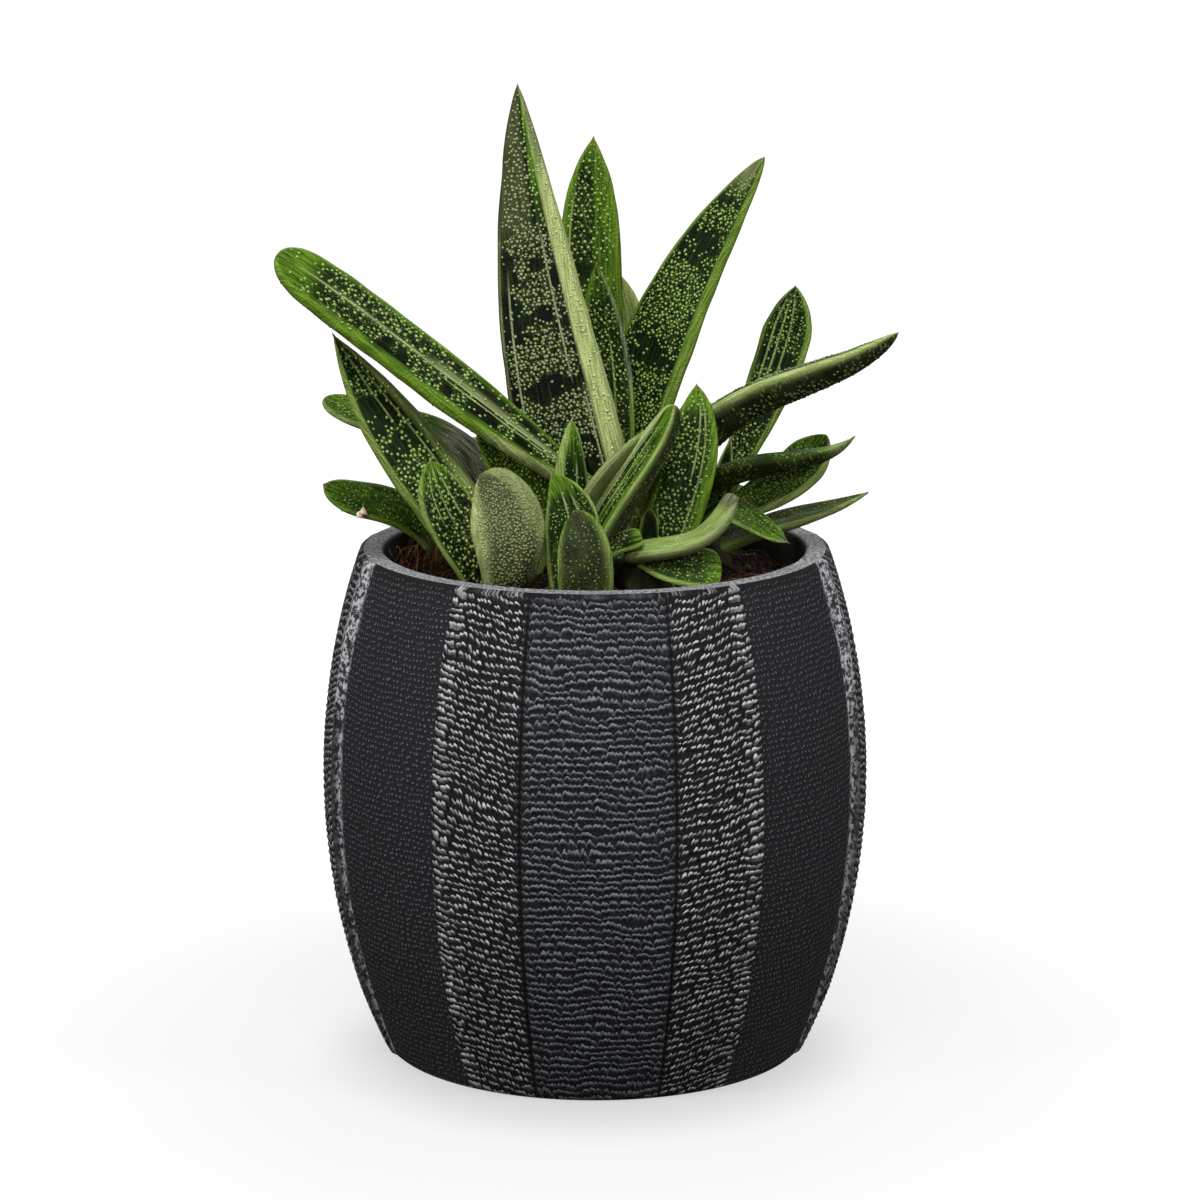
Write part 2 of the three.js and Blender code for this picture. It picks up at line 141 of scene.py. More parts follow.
def sheet_faces(rows, columns, closed=False):
    """Quads between the neighbours of a grid of rows by columns, wound for columns running to the left."""
    across = np.arange(columns if closed else columns - 1)
    start = np.arange(rows - 1)[:, None] * columns
    here, there = start + across, start + (across + 1) % columns
    return np.stack([here, there, there + columns, here + columns], -1).reshape(-1, 4)


def skin_faces(rows, columns):
    """A closed sheet and the fans that close its ends, at the two points after the sheet's own."""
    ring = np.arange(columns)
    after = (ring + 1) % columns
    last = (rows - 1) * columns
    foot = np.stack([after, ring, np.full(columns, rows * columns)], 1)
    top = np.stack([last + ring, last + after, np.full(columns, rows * columns + 1)], 1)
    return [sheet_faces(rows, columns, closed=True), foot, top]


# ---------------------------------------------------------------------------- materials


def colour(red, green, blue):
    """A display colour in 0 to 255 as the linear colour that shaders take."""
    shares = np.array([red, green, blue]) / 255
    linear = np.where(shares <= 0.04045, shares / 12.92, ((shares + 0.055) / 1.055) ** 2.4)
    return (*linear, 1)


class Shade:
    """A material's nodes, made by short calls that return sockets."""

    def __init__(self, name, **constants):
        self.material = bpy.data.materials.new(name)
        self.material.use_nodes = True
        self.tree = self.material.node_tree
        self.surface = self.tree.nodes["Principled BSDF"]
        for socket, value in constants.items():
            self.surface.inputs[socket.replace("_", " ")].default_value = value

    def node(self, kind, inputs=(), **settings):
        made = self.tree.nodes.new(f"ShaderNode{kind}")
        for key, value in settings.items():
            setattr(made, key, value)
        for key, value in dict(inputs).items():
            self.put(made.inputs[key], value)
        return made

    def put(self, socket, value):
        if isinstance(value, bpy.types.NodeSocket):
            self.tree.links.new(value, socket)
        else:
            socket.default_value = value

    def parts(self, name):
        """The three numbers of a point attribute."""
        return self.node("SeparateXYZ", {"Vector": self.attribute(name)}).outputs

    def math(self, operation, first, second=0.0):
        return self.node("Math", {0: first, 1: second}, operation=operation).outputs[0]

    def plus(self, first, second):
        return self.math("ADD", first, second)

    def minus(self, first, second):
        return self.math("SUBTRACT", first, second)

    def times(self, first, second):
        return self.math("MULTIPLY", first, second)

    def step(self, value, low, high, start=0.0, end=1.0):
        """An eased step from start at low to end at high."""
        values = {"Value": value, "From Min": low, "From Max": high, "To Min": start, "To Max": end}
        return self.node("MapRange", values, interpolation_type="SMOOTHSTEP").outputs[0]

    def blend(self, share, first, second):
        made = self.node("Mix", data_type="RGBA", clamp_factor=True)
        for index, value in ((0, share), (6, first), (7, second)):
            self.put(made.inputs[index], value)
        return made.outputs[2]

    def grain(self, vector, scale, detail=3.0, rough=0.55):
        inputs = {"Vector": vector, "Scale": scale, "Detail": detail, "Roughness": rough}
        return self.node("TexNoise", inputs).outputs["Fac"]

    def stretched(self, vector, scale):
        return self.node("Mapping", {"Vector": vector, "Scale": scale}).outputs["Vector"]

    def attribute(self, name):
        return self.node("Attribute", attribute_name=name).outputs["Vector"]

    def position(self):
        return self.node("TexCoord").outputs["Object"]

    def bump(self, height, strength, distance):
        """Sets a bump of the given height in metres on the surface."""
        inputs = {"Height": height, "Strength": strength, "Distance": distance}
        self.put(self.surface.inputs["Normal"], self.node("Bump", inputs).outputs["Normal"])

    def finish(self, base, roughness):
        self.put(self.surface.inputs["Base Color"], base)
        self.put(self.surface.inputs["Roughness"], roughness)
        return self.material


def leaf_material():
    """Dark mottled skin with pale dots and lines, light margins, brown tips and a paler root."""
    shade = Shade("leaf_skin", Specular_IOR_Level=0.08)
    place = shade.attribute("place")  # mm across, mm along, and the leaf's own number
    rim, under, paper = shade.parts("zone")
    green, edge, pale = shade.parts("look")
    band, dot, _ = shade.parts("mark")
    tip, root, dry = shade.parts("ends")
    line = 0.0
    for aside, shown in zip(shade.parts("line_side"), shade.parts("line_shown")):
        drawn = shade.step(shade.math("ABSOLUTE", aside), 0.12, 0.38, 1.0, 0.0)
        line = shade.math("MAXIMUM", line, shade.times(drawn, shown))
    streak = shade.grain(shade.stretched(place, (1.6, 0.09, 1.0)), 1.0, 3.0)
    cloud = shade.grain(shade.stretched(place, (0.22, 0.16, 1.0)), 1.0, 2.0)
    fine = shade.grain(place, 1.7, 3.0)
    strands = shade.step(shade.grain(shade.stretched(place, (2.6, 0.11, 1.0)), 1.0, 3.0), 0.36, 0.64)
    patch = shade.step(cloud, 0.4, 0.68)
    flecks = shade.step(fine, 0.42, 0.66)
    spots = shade.node("TexVoronoi", {"Vector": place, "Scale": 1.15}).outputs["Distance"]
    spots = shade.step(spots, 0.22, 0.4, 1.0, 0.0)

    dark = shade.blend(patch, colour(2, 6, 2), colour(10, 22, 7))
    fresh = shade.blend(shade.step(streak, 0.32, 0.68), colour(26, 54, 4), colour(86, 120, 24))
    fresh_share = shade.plus(green, shade.step(streak, 0.5, 0.72, 0.0, 0.12))
    face = shade.blend(fresh_share, dark, fresh)
    washed = shade.times(shade.step(band, 0.3, 1.0, 0.0, 0.2), flecks)
    face = shade.blend(washed, face, colour(74, 92, 46))
    face = shade.blend(shade.times(tip, shade.step(streak, 0.3, 0.6, 0.5, 0.9)), face, fresh)

    back_dark = shade.blend(patch, colour(12, 20, 5), colour(34, 46, 16))
    back_pale = shade.blend(flecks, colour(74, 82, 46), colour(134, 140, 98))
    back = shade.blend(pale, back_dark, back_pale)
    skin = shade.blend(under, face, back)

    sage = shade.blend(strands, colour(122, 136, 80), colour(168, 179, 120))
    lush = shade.blend(strands, colour(56, 86, 9), colour(102, 130, 36))
    margin = shade.blend(edge, sage, lush)
    margin = shade.blend(shade.step(fine, 0.5, 0.75, 0.0, 0.35), margin, colour(88, 100, 52))
    skin = shade.blend(rim, skin, margin)
    spotted = shade.times(spots, shade.step(band, 0.5, 0.95, 0.0, 0.5))
    spot_colour = shade.blend(edge, colour(118, 130, 84), colour(116, 146, 50))
    on_face = shade.step(rim, 0.2, 0.8, 1.0, 0.25)
    skin = shade.blend(shade.times(spotted, on_face), skin, spot_colour)
    stripe = shade.blend(edge, colour(150, 158, 122), colour(140, 160, 88))
    skin = shade.blend(shade.times(line, shade.step(strands, 0.0, 1.0, 0.5, 0.9)), skin, stripe)
    skin = shade.blend(shade.times(root, 0.6), skin, colour(118, 130, 72))

    bead = shade.blend(edge, colour(132, 141, 102), colour(140, 170, 80))
    bead = shade.blend(shade.step(fine, 0.35, 0.65, 0.0, 0.5), bead, colour(104, 120, 66))
    bead = shade.blend(shade.step(rim, 0.3, 1.0, 0.0, 0.7), bead, colour(180, 190, 136))
    beneath = shade.blend(pale, colour(78, 90, 44), colour(150, 158, 112))
    bead = shade.blend(shade.step(under, 0.4, 0.6, 0.0, 0.8), bead, beneath)
    skin = shade.blend(shade.step(dot, BEAD_BLEND, 0.75), skin, bead)
    husk = shade.blend(fine, colour(58, 44, 28), colour(128, 110, 78))
    dull = shade.blend(strands, colour(26, 26, 20), colour(108, 110, 92))
    skin = shade.blend(paper, skin, dull)
    skin = shade.blend(dry, skin, husk)
    shade.bump(shade.plus(fine, shade.times(spotted, 0.5)), 0.7, 0.0004)
    return shade.finish(skin, shade.step(rim, 0.2, 0.8, 0.55, 0.4))


def pot_material():
    """Charcoal ware: rows of small scales with a painted highlight along each upper edge, painted shade below
    them and in the near-black gaps, and scuffed lips that are pale with wear and a painted glint.
    """
    shade = Shade("pot_side", Specular_IOR_Level=0.25)
    place, rows, kind = shade.parts("cell")  # kind is 0 on wide panels, a half on narrow, 1 on plain
    open_share, lip_wear_and_glint, scuff = shade.parts("relief")
    position = shade.position()
    speck = shade.grain(position, 2400.0, 2.0)
    cloud = shade.grain(position, 55.0, 3.0)
    shift = shade.minus(shade.grain(position, 420.0, 2.0), 0.5)
    rows = shade.plus(rows, shade.times(shift, 0.8))
    row = shade.math("FLOOR", rows)
    up = shade.minus(rows, row)
    along_row = shade.plus(place, shade.times(row, 17.37))
    scale = shade.node(
        "TexVoronoi", {"W": along_row, "Scale": 1.0, "Randomness": 0.8}, voronoi_dimensions="1D").outputs
    beside = shade.minus(along_row, scale["W"])
    chance = shade.node("SeparateColor", {"Color": scale["Color"]}).outputs
    plain = shade.step(kind, 0.6, 0.9)
    narrow = shade.minus(shade.step(kind, 0.1, 0.4), plain)
    lift = shade.times(shade.minus(chance[0], 0.5), 0.3)

    arch = shade.times(shade.times(beside, beside), shade.step(narrow, 0.0, 1.0, 0.8, 0.5))
    slant = shade.times(shade.times(beside, 0.3), narrow)
    slant = shade.times(slant, shade.minus(1.0, lip_wear_and_glint))
    edge = shade.plus(shade.step(narrow, 0.0, 1.0, 0.82, 0.7), lift)
    edge = shade.plus(shade.minus(edge, arch), slant)
    below = shade.minus(edge, up)  # how far below its scale's upper edge a place lies
    ends = shade.times(scale["Distance"], shade.step(lip_wear_and_glint, 0.2, 0.8, 1.0, 0.8))
    ends = shade.step(ends, shade.step(narrow, 0.0, 1.0, 0.42, 0.26), 0.56, 1.0, 0.0)
    ends = shade.math("MAXIMUM", ends, shade.step(narrow, 0.0, 1.0, 0.65, 0.0))
    # Each scale is pale just under its upper edge and darkens downwards: painted shade, as if lit from above.
    body = shade.times(shade.step(below, 0.0, 0.1), shade.step(below, 0.3, 1.0, 1.0, 0.1))
    # The crest is a painted highlight along each scale's upper edge.
    painted_crest_highlight = shade.times(shade.step(below, 0.0, 0.1), shade.step(below, 0.14, 0.42, 1.0, 0.0))

    # The dots on the plain panels carry the same painted highlight and painted shade.
    dot = shade.math("DIVIDE", scale["Distance"], 0.27)
    over = shade.math("DIVIDE", shade.plus(shade.minus(up, 0.5), lift), 0.25)
    dot = shade.plus(shade.times(dot, dot), shade.times(over, over))
    dot = shade.step(dot, 0.1, 1.0, 1.0, 0.0)
    shown = shade.times(open_share, shade.minus(1.0, scuff))
    strength = shade.times(shown, shade.step(chance[1], 0.1, 0.7, 0.5, 1.0))
    body = shade.times(shade.times(body, ends), shade.minus(1.0, plain))
    body = shade.times(shade.plus(body, shade.times(dot, plain)), strength)
    painted_crest_highlight = shade.times(shade.times(painted_crest_highlight, ends), shade.minus(1.0, plain))
    painted_crest_highlight = shade.times(shade.plus(painted_crest_highlight, shade.times(dot, plain)), strength)

    # The near-black ground between the scales is painted shade in the gaps.
    ground = shade.blend(plain, colour(7, 7, 8), colour(24, 24, 27))
    ground = shade.blend(open_share, colour(2, 2, 2), ground)
    grey = shade.blend(shade.step(kind, 0.1, 0.4), colour(64, 68, 76), colour(60, 60, 63))
    grey = shade.blend(shade.step(cloud, 0.4, 0.62, 0.0, 0.4), grey, colour(72, 75, 81))
    grey = shade.blend(shade.step(speck, 0.4, 0.65, 0.0, 0.6), grey, colour(30, 31, 35))
    base = shade.blend(body, ground, grey)
    # Painted highlight colours: near white on the narrow panels, dimmer on the wide panels and on the dots.
    bright = shade.blend(shade.step(kind, 0.1, 0.4), colour(112, 116, 121), colour(192, 192, 196))
    bright = shade.blend(plain, bright, colour(96, 96, 100))
    base = shade.blend(shade.times(painted_crest_highlight, 0.85), base, bright)
    # The ridge lips are paler: partly wear, partly a painted glint of the lamps.
    worn_glint = shade.times(shade.times(lip_wear_and_glint, body), 0.8)
    base = shade.blend(worn_glint, base, colour(168, 168, 171))
    scratch = shade.grain(shade.stretched(position, (1.0, 1.0, 0.6)), 950.0, 3.0, 0.75)
    scraped = shade.blend(shade.step(scratch, 0.45, 0.58), colour(36, 36, 39), colour(160, 160, 163))
    base = shade.blend(scuff, base, scraped)
    shade.bump(shade.plus(body, shade.times(speck, 0.12)), 1.0, 0.0006)
    return shade.finish(base, shade.step(body, 0.1, 0.8, 0.9, 0.35))


def rim_material():
    """The same ware where it is flat: mid grey, finely speckled and matt, and darker down the inner wall."""
    shade = Shade("pot_rim", Specular_IOR_Level=0.35)
    flat = shade.parts("ware")[0]
    position = shade.position()
    speck = shade.grain(position, 1000.0, 3.0, 0.7)
    cloud = shade.grain(position, 120.0, 2.0)
    grey = shade.blend(shade.step(speck, 0.42, 0.62), colour(58, 59, 61), colour(160, 161, 163))
    grey = shade.blend(shade.step(cloud, 0.4, 0.7, 0.0, 0.35), grey, colour(104, 105, 108))
    plain = shade.blend(cloud, colour(40, 38, 36), colour(62, 59, 56))
    shade.bump(speck, 0.35, 0.00018)
    return shade.finish(shade.blend(flat, plain, grey), shade.step(speck, 0.3, 0.7, 0.62, 0.85))


def soil_material():
    """Orange-brown coir, from near-black crumbs to light fibres."""
    shade = Shade("coir", Specular_IOR_Level=0.15)
    tone, light, _ = shade.parts("tone")
    position = shade.position()
    cloud = shade.grain(position, 240.0, 3.0)
    crumb = shade.blend(shade.step(cloud, 0.32, 0.68), colour(4, 3, 2), colour(20, 13, 8))
    fibre = shade.blend(tone, colour(12, 8, 5), colour(146, 98, 60))
    fibre = shade.blend(shade.step(cloud, 0.4, 0.65, 0.0, 0.6), fibre, colour(22, 14, 9))
    shade.bump(shade.grain(position, 700.0, 4.0), 0.8, 0.0005)
    return shade.finish(shade.blend(light, crumb, fibre), shade.step(cloud, 0.3, 0.7, 0.75, 0.95))


def flake_material():
    """A dry leaf scale: pinkish cream with brown blotches."""
    shade = Shade("dry_scale", Specular_IOR_Level=0.2)
    blotch = shade.step(shade.grain(shade.position(), 900.0, 3.0), 0.52, 0.62)
    return shade.finish(shade.blend(blotch, colour(248, 222, 204), colour(120, 66, 44)), 0.8)


# ---------------------------------------------------------------------------- the leaves

# Each leaf's midline runs through four points at equal shares of its length, root to tip.
# width is half its greatest breadth, depth its thickness at the keel and edge the height of its margins.
# bevel is the breadth of the slanted strips beside the face, and dish how far its middle rises.
# root is the breadth at the root as a share of width, and widest the share of the length where it peaks.
# fullness and point say how late and how bluntly it narrows, keel how far the back's ridge lies to one
# side, and face which way the face looks. Where a leaf doesn't say, it has the plain form.
PLAIN_FORM = dict(bevel=(0.8, 0.8), root=0.8, widest=0.5, fullness=2.2, keel=0)
LEAVES = {
    "main_leaf_1": dict(
        route=[(1.5, -7.5, 137), (-8.4, -8.5, 178.5), (-16, -4.5, 219), (-20.7, 1, 266)],
        width=14.6, depth=9, edge=3.2, bevel=(0.8, 5.2), root=0.9, widest=0.2, fullness=1.8,
        point=0.75, dish=-0.6, keel=0.3, face=(-0.16, -1, 0.1)),
    "main_leaf_2": dict(
        route=[(2, 9, 135.5), (0.6, 15, 178), (-0.9, 16, 214.5), (-0.1, 16, 250.5)],
        width=8.6, depth=5, edge=1.8, bevel=(0.9, 1.6), root=0.7, fullness=4.5,
        point=1, dish=-0.5, face=(0, -1, 0.1)),
    "main_leaf_3": dict(
        route=[(3, 0, 140), (4, 0, 169.5), (2.5, 1, 194), (0.5, 1, 218)],
        width=7.2, depth=4, edge=1.5, root=0.7,
        point=0.85, dish=-0.4, face=(-0.1, -1, 0.1)),
    "main_leaf_4": dict(
        route=[(7, 13, 139), (9.5, 21, 166), (9.5, 25, 192), (6, 26, 212)],
        width=6.4, depth=4, edge=1.5, root=0.7, fullness=2.4,
        point=0.8, dish=-0.4, face=(0, -1, 0.2)),
    "main_leaf_5": dict(
        route=[(5.5, 4, 136.5), (12.7, 6, 180), (27, 5, 215.5), (45.8, 1, 246.5)],
        width=10.5, depth=6, edge=2.8, bevel=(0.8, 2.6), root=0.75, widest=0.46, fullness=1.3,
        point=0.66, dish=-0.8, keel=0.2, face=(-0.5, -1, 0.15)),
    "main_leaf_6": dict(
        route=[(5, -13, 153), (-29.5, -22, 180.6), (-58.5, -24, 203.8), (-84.5, -27, 223.6)],
        width=9.1, depth=7.6, edge=4, bevel=(1.2, 1.4), root=0.2, fullness=8,
        point=0.5, dish=-0.5, keel=0.1, face=(0.35, -0.68, 0.72)),
    "main_leaf_7": dict(
        route=[(12.5, -6, 144), (31.5, -11, 175.8), (56, -14, 188.6), (81, -16, 201.2)],
        width=7.4, depth=11, edge=2.6, bevel=(1.2, 1.2), widest=0.35, fullness=3.8,
        point=0.8, dish=0.3, face=(-0.3, 0.12, 0.95)),
    "left_leaf_1": dict(
        route=[(-26.5, -24, 135.5), (-39.3, -24, 156), (-53.7, -24, 176.5), (-69.8, -24, 202.3)],
        width=9.8, depth=5.5, edge=2.8, bevel=(1.4, 1.6), root=0.7, widest=0.42, fullness=2.7,
        point=0.95, dish=-0.7, face=(0.4, -0.85, 0.35)),
    "left_leaf_2": dict(
        route=[(-28.5, -29, 133.5), (-34, -34, 146), (-40, -36, 157.5), (-44, -37, 170.5)],
        width=8.2, depth=4.5, edge=1.6, fullness=2.8,
        point=0.7, dish=-0.8, face=(0.45, -0.8, 0.4)),
    "left_leaf_3": dict(
        route=[(-25, -34, 132), (-23.4, -43, 146), (-24.4, -44, 158), (-30.6, -42, 167.6)],
        width=10, depth=5, edge=1.8, bevel=(1, 1), root=0.5, widest=0.62, fullness=1.7,
        point=0.45, dish=-1, keel=-0.35, face=(0.1, 0.95, 0.3)),
    "left_leaf_4": dict(
        route=[(-20.5, -19, 136), (-18, -15, 154.5), (-23.5, -12.5, 165), (-32, -11, 174.5)],
        width=8.4, depth=4, edge=1.6, bevel=(1, 1.4), root=0.7, widest=0.45,
        point=0.8, dish=-0.7, face=(0.3, -0.66, 0.7)),
    "west_leaf_1": dict(
        route=[(-43, 6, 139), (-53.5, 4, 148.9), (-64, 2, 152.5), (-74, 0, 157.2)],
        width=5.9, depth=4.5, edge=1.8, root=0.7, fullness=3,
        point=0.55, dish=-0.3, face=(0, -0.75, 0.7)),
    "west_leaf_2": dict(
        route=[(-33, 8, 140), (-36, 6, 164.5), (-57, 4, 174.3), (-73.7, 4, 180.8)],
        width=6.6, depth=5, edge=2, root=0.9, fullness=2.8,
        point=0.5, dish=-0.3, face=(0.1, -0.5, 0.8)),
    "front_leaf_1": dict(
        route=[(-6, -30, 137.5), (-7, -30, 153), (-7, -30, 167), (-6.5, -30, 180.5)],
        width=5.6, depth=5, edge=2.4, bevel=(2.2, 1), root=0.85, widest=0.45,
        point=0.85, dish=-0.2, keel=-0.3, face=(0.55, -0.8, 0.1)),
    "front_leaf_2": dict(
        route=[(-5, -38, 130.5), (-6, -38, 144), (-7, -38, 156), (-12, -36, 167)],
        width=7.8, depth=4.5, edge=1.6,
        point=0.85, dish=-1, face=(0.1, -0.9, 0.35)),
    "front_leaf_3": dict(
        route=[(-3, -44, 127.5), (-3, -48, 139), (-3.5, -49, 149.5), (-5.5, -47, 159)],
        width=7.4, depth=4, edge=1.4, bevel=(0.6, 0.6), root=0.75, widest=0.42, fullness=2.7,
        point=0.62, dish=-0.8, keel=0.25, face=(0, 0.95, 0.25)),
    "front_leaf_4": dict(
        route=[(-3.5, -32, 136), (4.5, -32, 155), (13.6, -32, 169.5), (20.9, -33, 184.4)],
        width=8.8, depth=9, edge=1.2, bevel=(1.4, 0.6), widest=0.55, fullness=3.2,
        point=0.5, dish=-0.2, face=(-0.75, -0.25, 0.65)),
    "right_leaf_4": dict(
        route=[(-2, -36, 141), (3, -38, 146.5), (7.5, -39.5, 149), (12, -40, 150.5)],
        width=3.6, depth=2.6, edge=1, bevel=(0.5, 0.5), root=1, fullness=6,
        point=0.25, dish=-0.4, face=(-0.2, -0.6, 0.75)),
    "right_leaf_1": dict(
        route=[(15, -28, 135), (20.5, -24, 152.5), (25.5, -22, 170.5), (27, -20, 188)],
        width=8, depth=5.5, edge=2.6, bevel=(1.2, 1.4), root=0.75, widest=0.45, fullness=2.6,
        point=0.85, dish=-0.7, face=(-0.1, -0.95, 0.25)),
    "right_leaf_2": dict(
        route=[(9.5, -36, 145), (19.5, -41, 147.8), (29, -43, 152), (36, -42, 162.5)],
        width=4.3, depth=5, edge=3, bevel=(1, 1), root=1, widest=0.4, fullness=5,
        point=0.3, dish=0.1, face=(-0.2, -0.25, 0.95)),
    "right_leaf_3": dict(
        route=[(9.5, -34, 143), (17, -40, 142.6), (25, -43, 142.6), (33, -43, 141.7)],
        width=6.2, depth=3, edge=1.4, bevel=(0.6, 0.9), root=0.1, widest=0.8, fullness=3,
        point=0.5, dish=-0.8, face=(0.05, -0.75, 0.65)),
    "east_leaf_1": dict(
        route=[(31, 9, 139.5), (41, 13, 164.5), (50.4, 16, 187), (55.5, 17, 209.3)],
        width=6.9, depth=5, edge=1.8, bevel=(0.8, 1.2), root=0.1, widest=0.8, fullness=1.7,
        point=0.8, dish=-0.6, face=(-0.2, -1, 0.2)),
    "east_leaf_6": dict(
        route=[(29, 6, 142), (33.5, 7, 153), (36, 7, 161.5), (37.5, 7, 169)],
        width=2.5, depth=2.4, edge=0.8, bevel=(0.4, 0.4), root=0.9, widest=0.4, fullness=2,
        point=0.9, dish=0, face=(0, -1, 0.1)),
    "east_leaf_2": dict(
        route=[(26, -2, 144), (35.5, -9, 161.5), (53, -15, 166.5), (69.5, -17, 173.1)],
        width=5.4, depth=7.2, edge=2.2, bevel=(1, 1), root=0.9, widest=0.4,
        point=0.85, dish=0.2, face=(-0.2, 0.05, 0.95)),
    "east_leaf_3": dict(
        route=[(26.5, 0, 140.5), (40.5, -1, 151), (52.5, 0, 158.5), (63.5, 1, 170.6)],
        width=7.9, depth=5, edge=2.8, bevel=(1, 1), root=0.12, widest=0.8, fullness=2,
        point=0.7, dish=-1.4, face=(-0.3, -0.6, 0.75)),
    "east_leaf_4": dict(
        route=[(33, 3, 138.5), (47, 0, 145), (60.5, -2, 149.5), (74.5, -4, 155.4)],
        width=5.3, depth=5, edge=1.8, root=0.9, widest=0.35,
        point=0.85, dish=-0.2, face=(-0.2, -0.25, 0.9)),
    "east_leaf_5": dict(
        route=[(28, -2, 142), (34, -9, 151.5), (43, -13, 149), (52, -16, 144)],
        width=5.4, depth=3.5, edge=1.2, bevel=(0.6, 0.6),
        point=0.8, dish=-0.2, face=(0.3, -0.5, 0.8)),
    "main_leaf_8": dict(
        route=[(-6.5, -26, 147), (0.5, -24, 161), (8.5, -22, 170), (16, -21, 177.5)],
        width=7.5, depth=4.6, edge=2.6, bevel=(1, 1), widest=0.4, fullness=2.4,
        point=0.7, dish=-0.3, face=(-0.5, 0.3, 0.8)),
}

# The leaves behind share one form. Each has its number on its stem, the way it leans (degrees from +X
# towards +Y), how far its tip reaches from the stem, its tip's height, its half breadth, and how much it
# arches.
BACK_FORM = dict(
    PLAIN_FORM, edge=1.8, bevel=(0.9, 0.9), root=0.9, widest=0.45, fullness=2.4, point=0.7, dish=-0.7)
BACK_LEAVES = {
    "main": [(9, 125, 36, 186, 8, 0.1), (10, 44, 50, 174, 8, 0.16), (11, 158, 40, 164, 7, 0.2)],
    "back": [
        (1, 78, 36, 170, 8, 0.16), (2, 140, 38, 160, 7, 0.22), (3, 188, 34, 152, 6.5, 0.3),
        (4, 285, 9, 180, 6.5, 0.05), (5, 22, 24, 160, 6.5, 0.2), (6, 235, 14, 168, 6, 0.05)],
    "rear": [
        (1, 72, 28, 163, 7, 0.2), (2, 22, 32, 156, 6.5, 0.24), (3, 335, 24, 150, 5.5, 0.3),
        (4, 135, 20, 164, 6, 0.12), (5, 210, 13, 165, 5.5, 0.08)],
    "west": [(3, 110, 30, 156, 6, 0.25), (4, 165, 32, 147, 5.5, 0.35), (5, 55, 17, 161, 5.5, 0.12)],
    "east": [(7, 100, 26, 163, 5.5, 0.15)],
}

ROOT_DEPTH = 8  # mm from a stem's top down to the roots of the leaves behind

# Each rosette's stem: its centre, its radius at the soil and the height of its top.
STEMS = {
    "main": (2, 0, 11.5, 149), "left": (-26, -24, 9.5, 145), "west": (-39, 7, 7, 145),
    "front": (-5, -35, 8, 143), "right": (13, -30, 7.5, 147), "east": (29, 2, 9, 146),
    "back": (-8, 30, 9, 146), "rear": (22, 34, 7.5, 144),
}

# How each leaf looks. green is how fresh its face is, edge its margins, from sage to lush, and side how far
# their colour runs down towards the back. dots and bands are how many dots the face has and how far they
# gather in cross bands; back is how pale the underside is and back_dots how dotted; strip_dots is for the
# strip on the right. pitch is the dots' spacing in mm, straight how well they keep to rows along the leaf
# and size their scale. full is the share of the length where they cover it all, tip where they give way to
# plain green, and spike the brown point's length.
# Each line is a pale stripe: its place across the face from -1 to 1, its start and its end. Each wash is a
# tone, the places across between which it lies, and its start and end along the leaf. Places across run on
# past the margins to plus or minus 3 at the keel.
PLAIN_LOOK = dict(
    green=0.12, edge=0.5, side=0.5, dots=0.75, bands=0.6, back=0.2, back_dots=0.5, strip_dots=0, pitch=1.45,
    straight=0.1, size=1, full=1.2, tip=0.86, spike=0.4, lines=(), washes=())
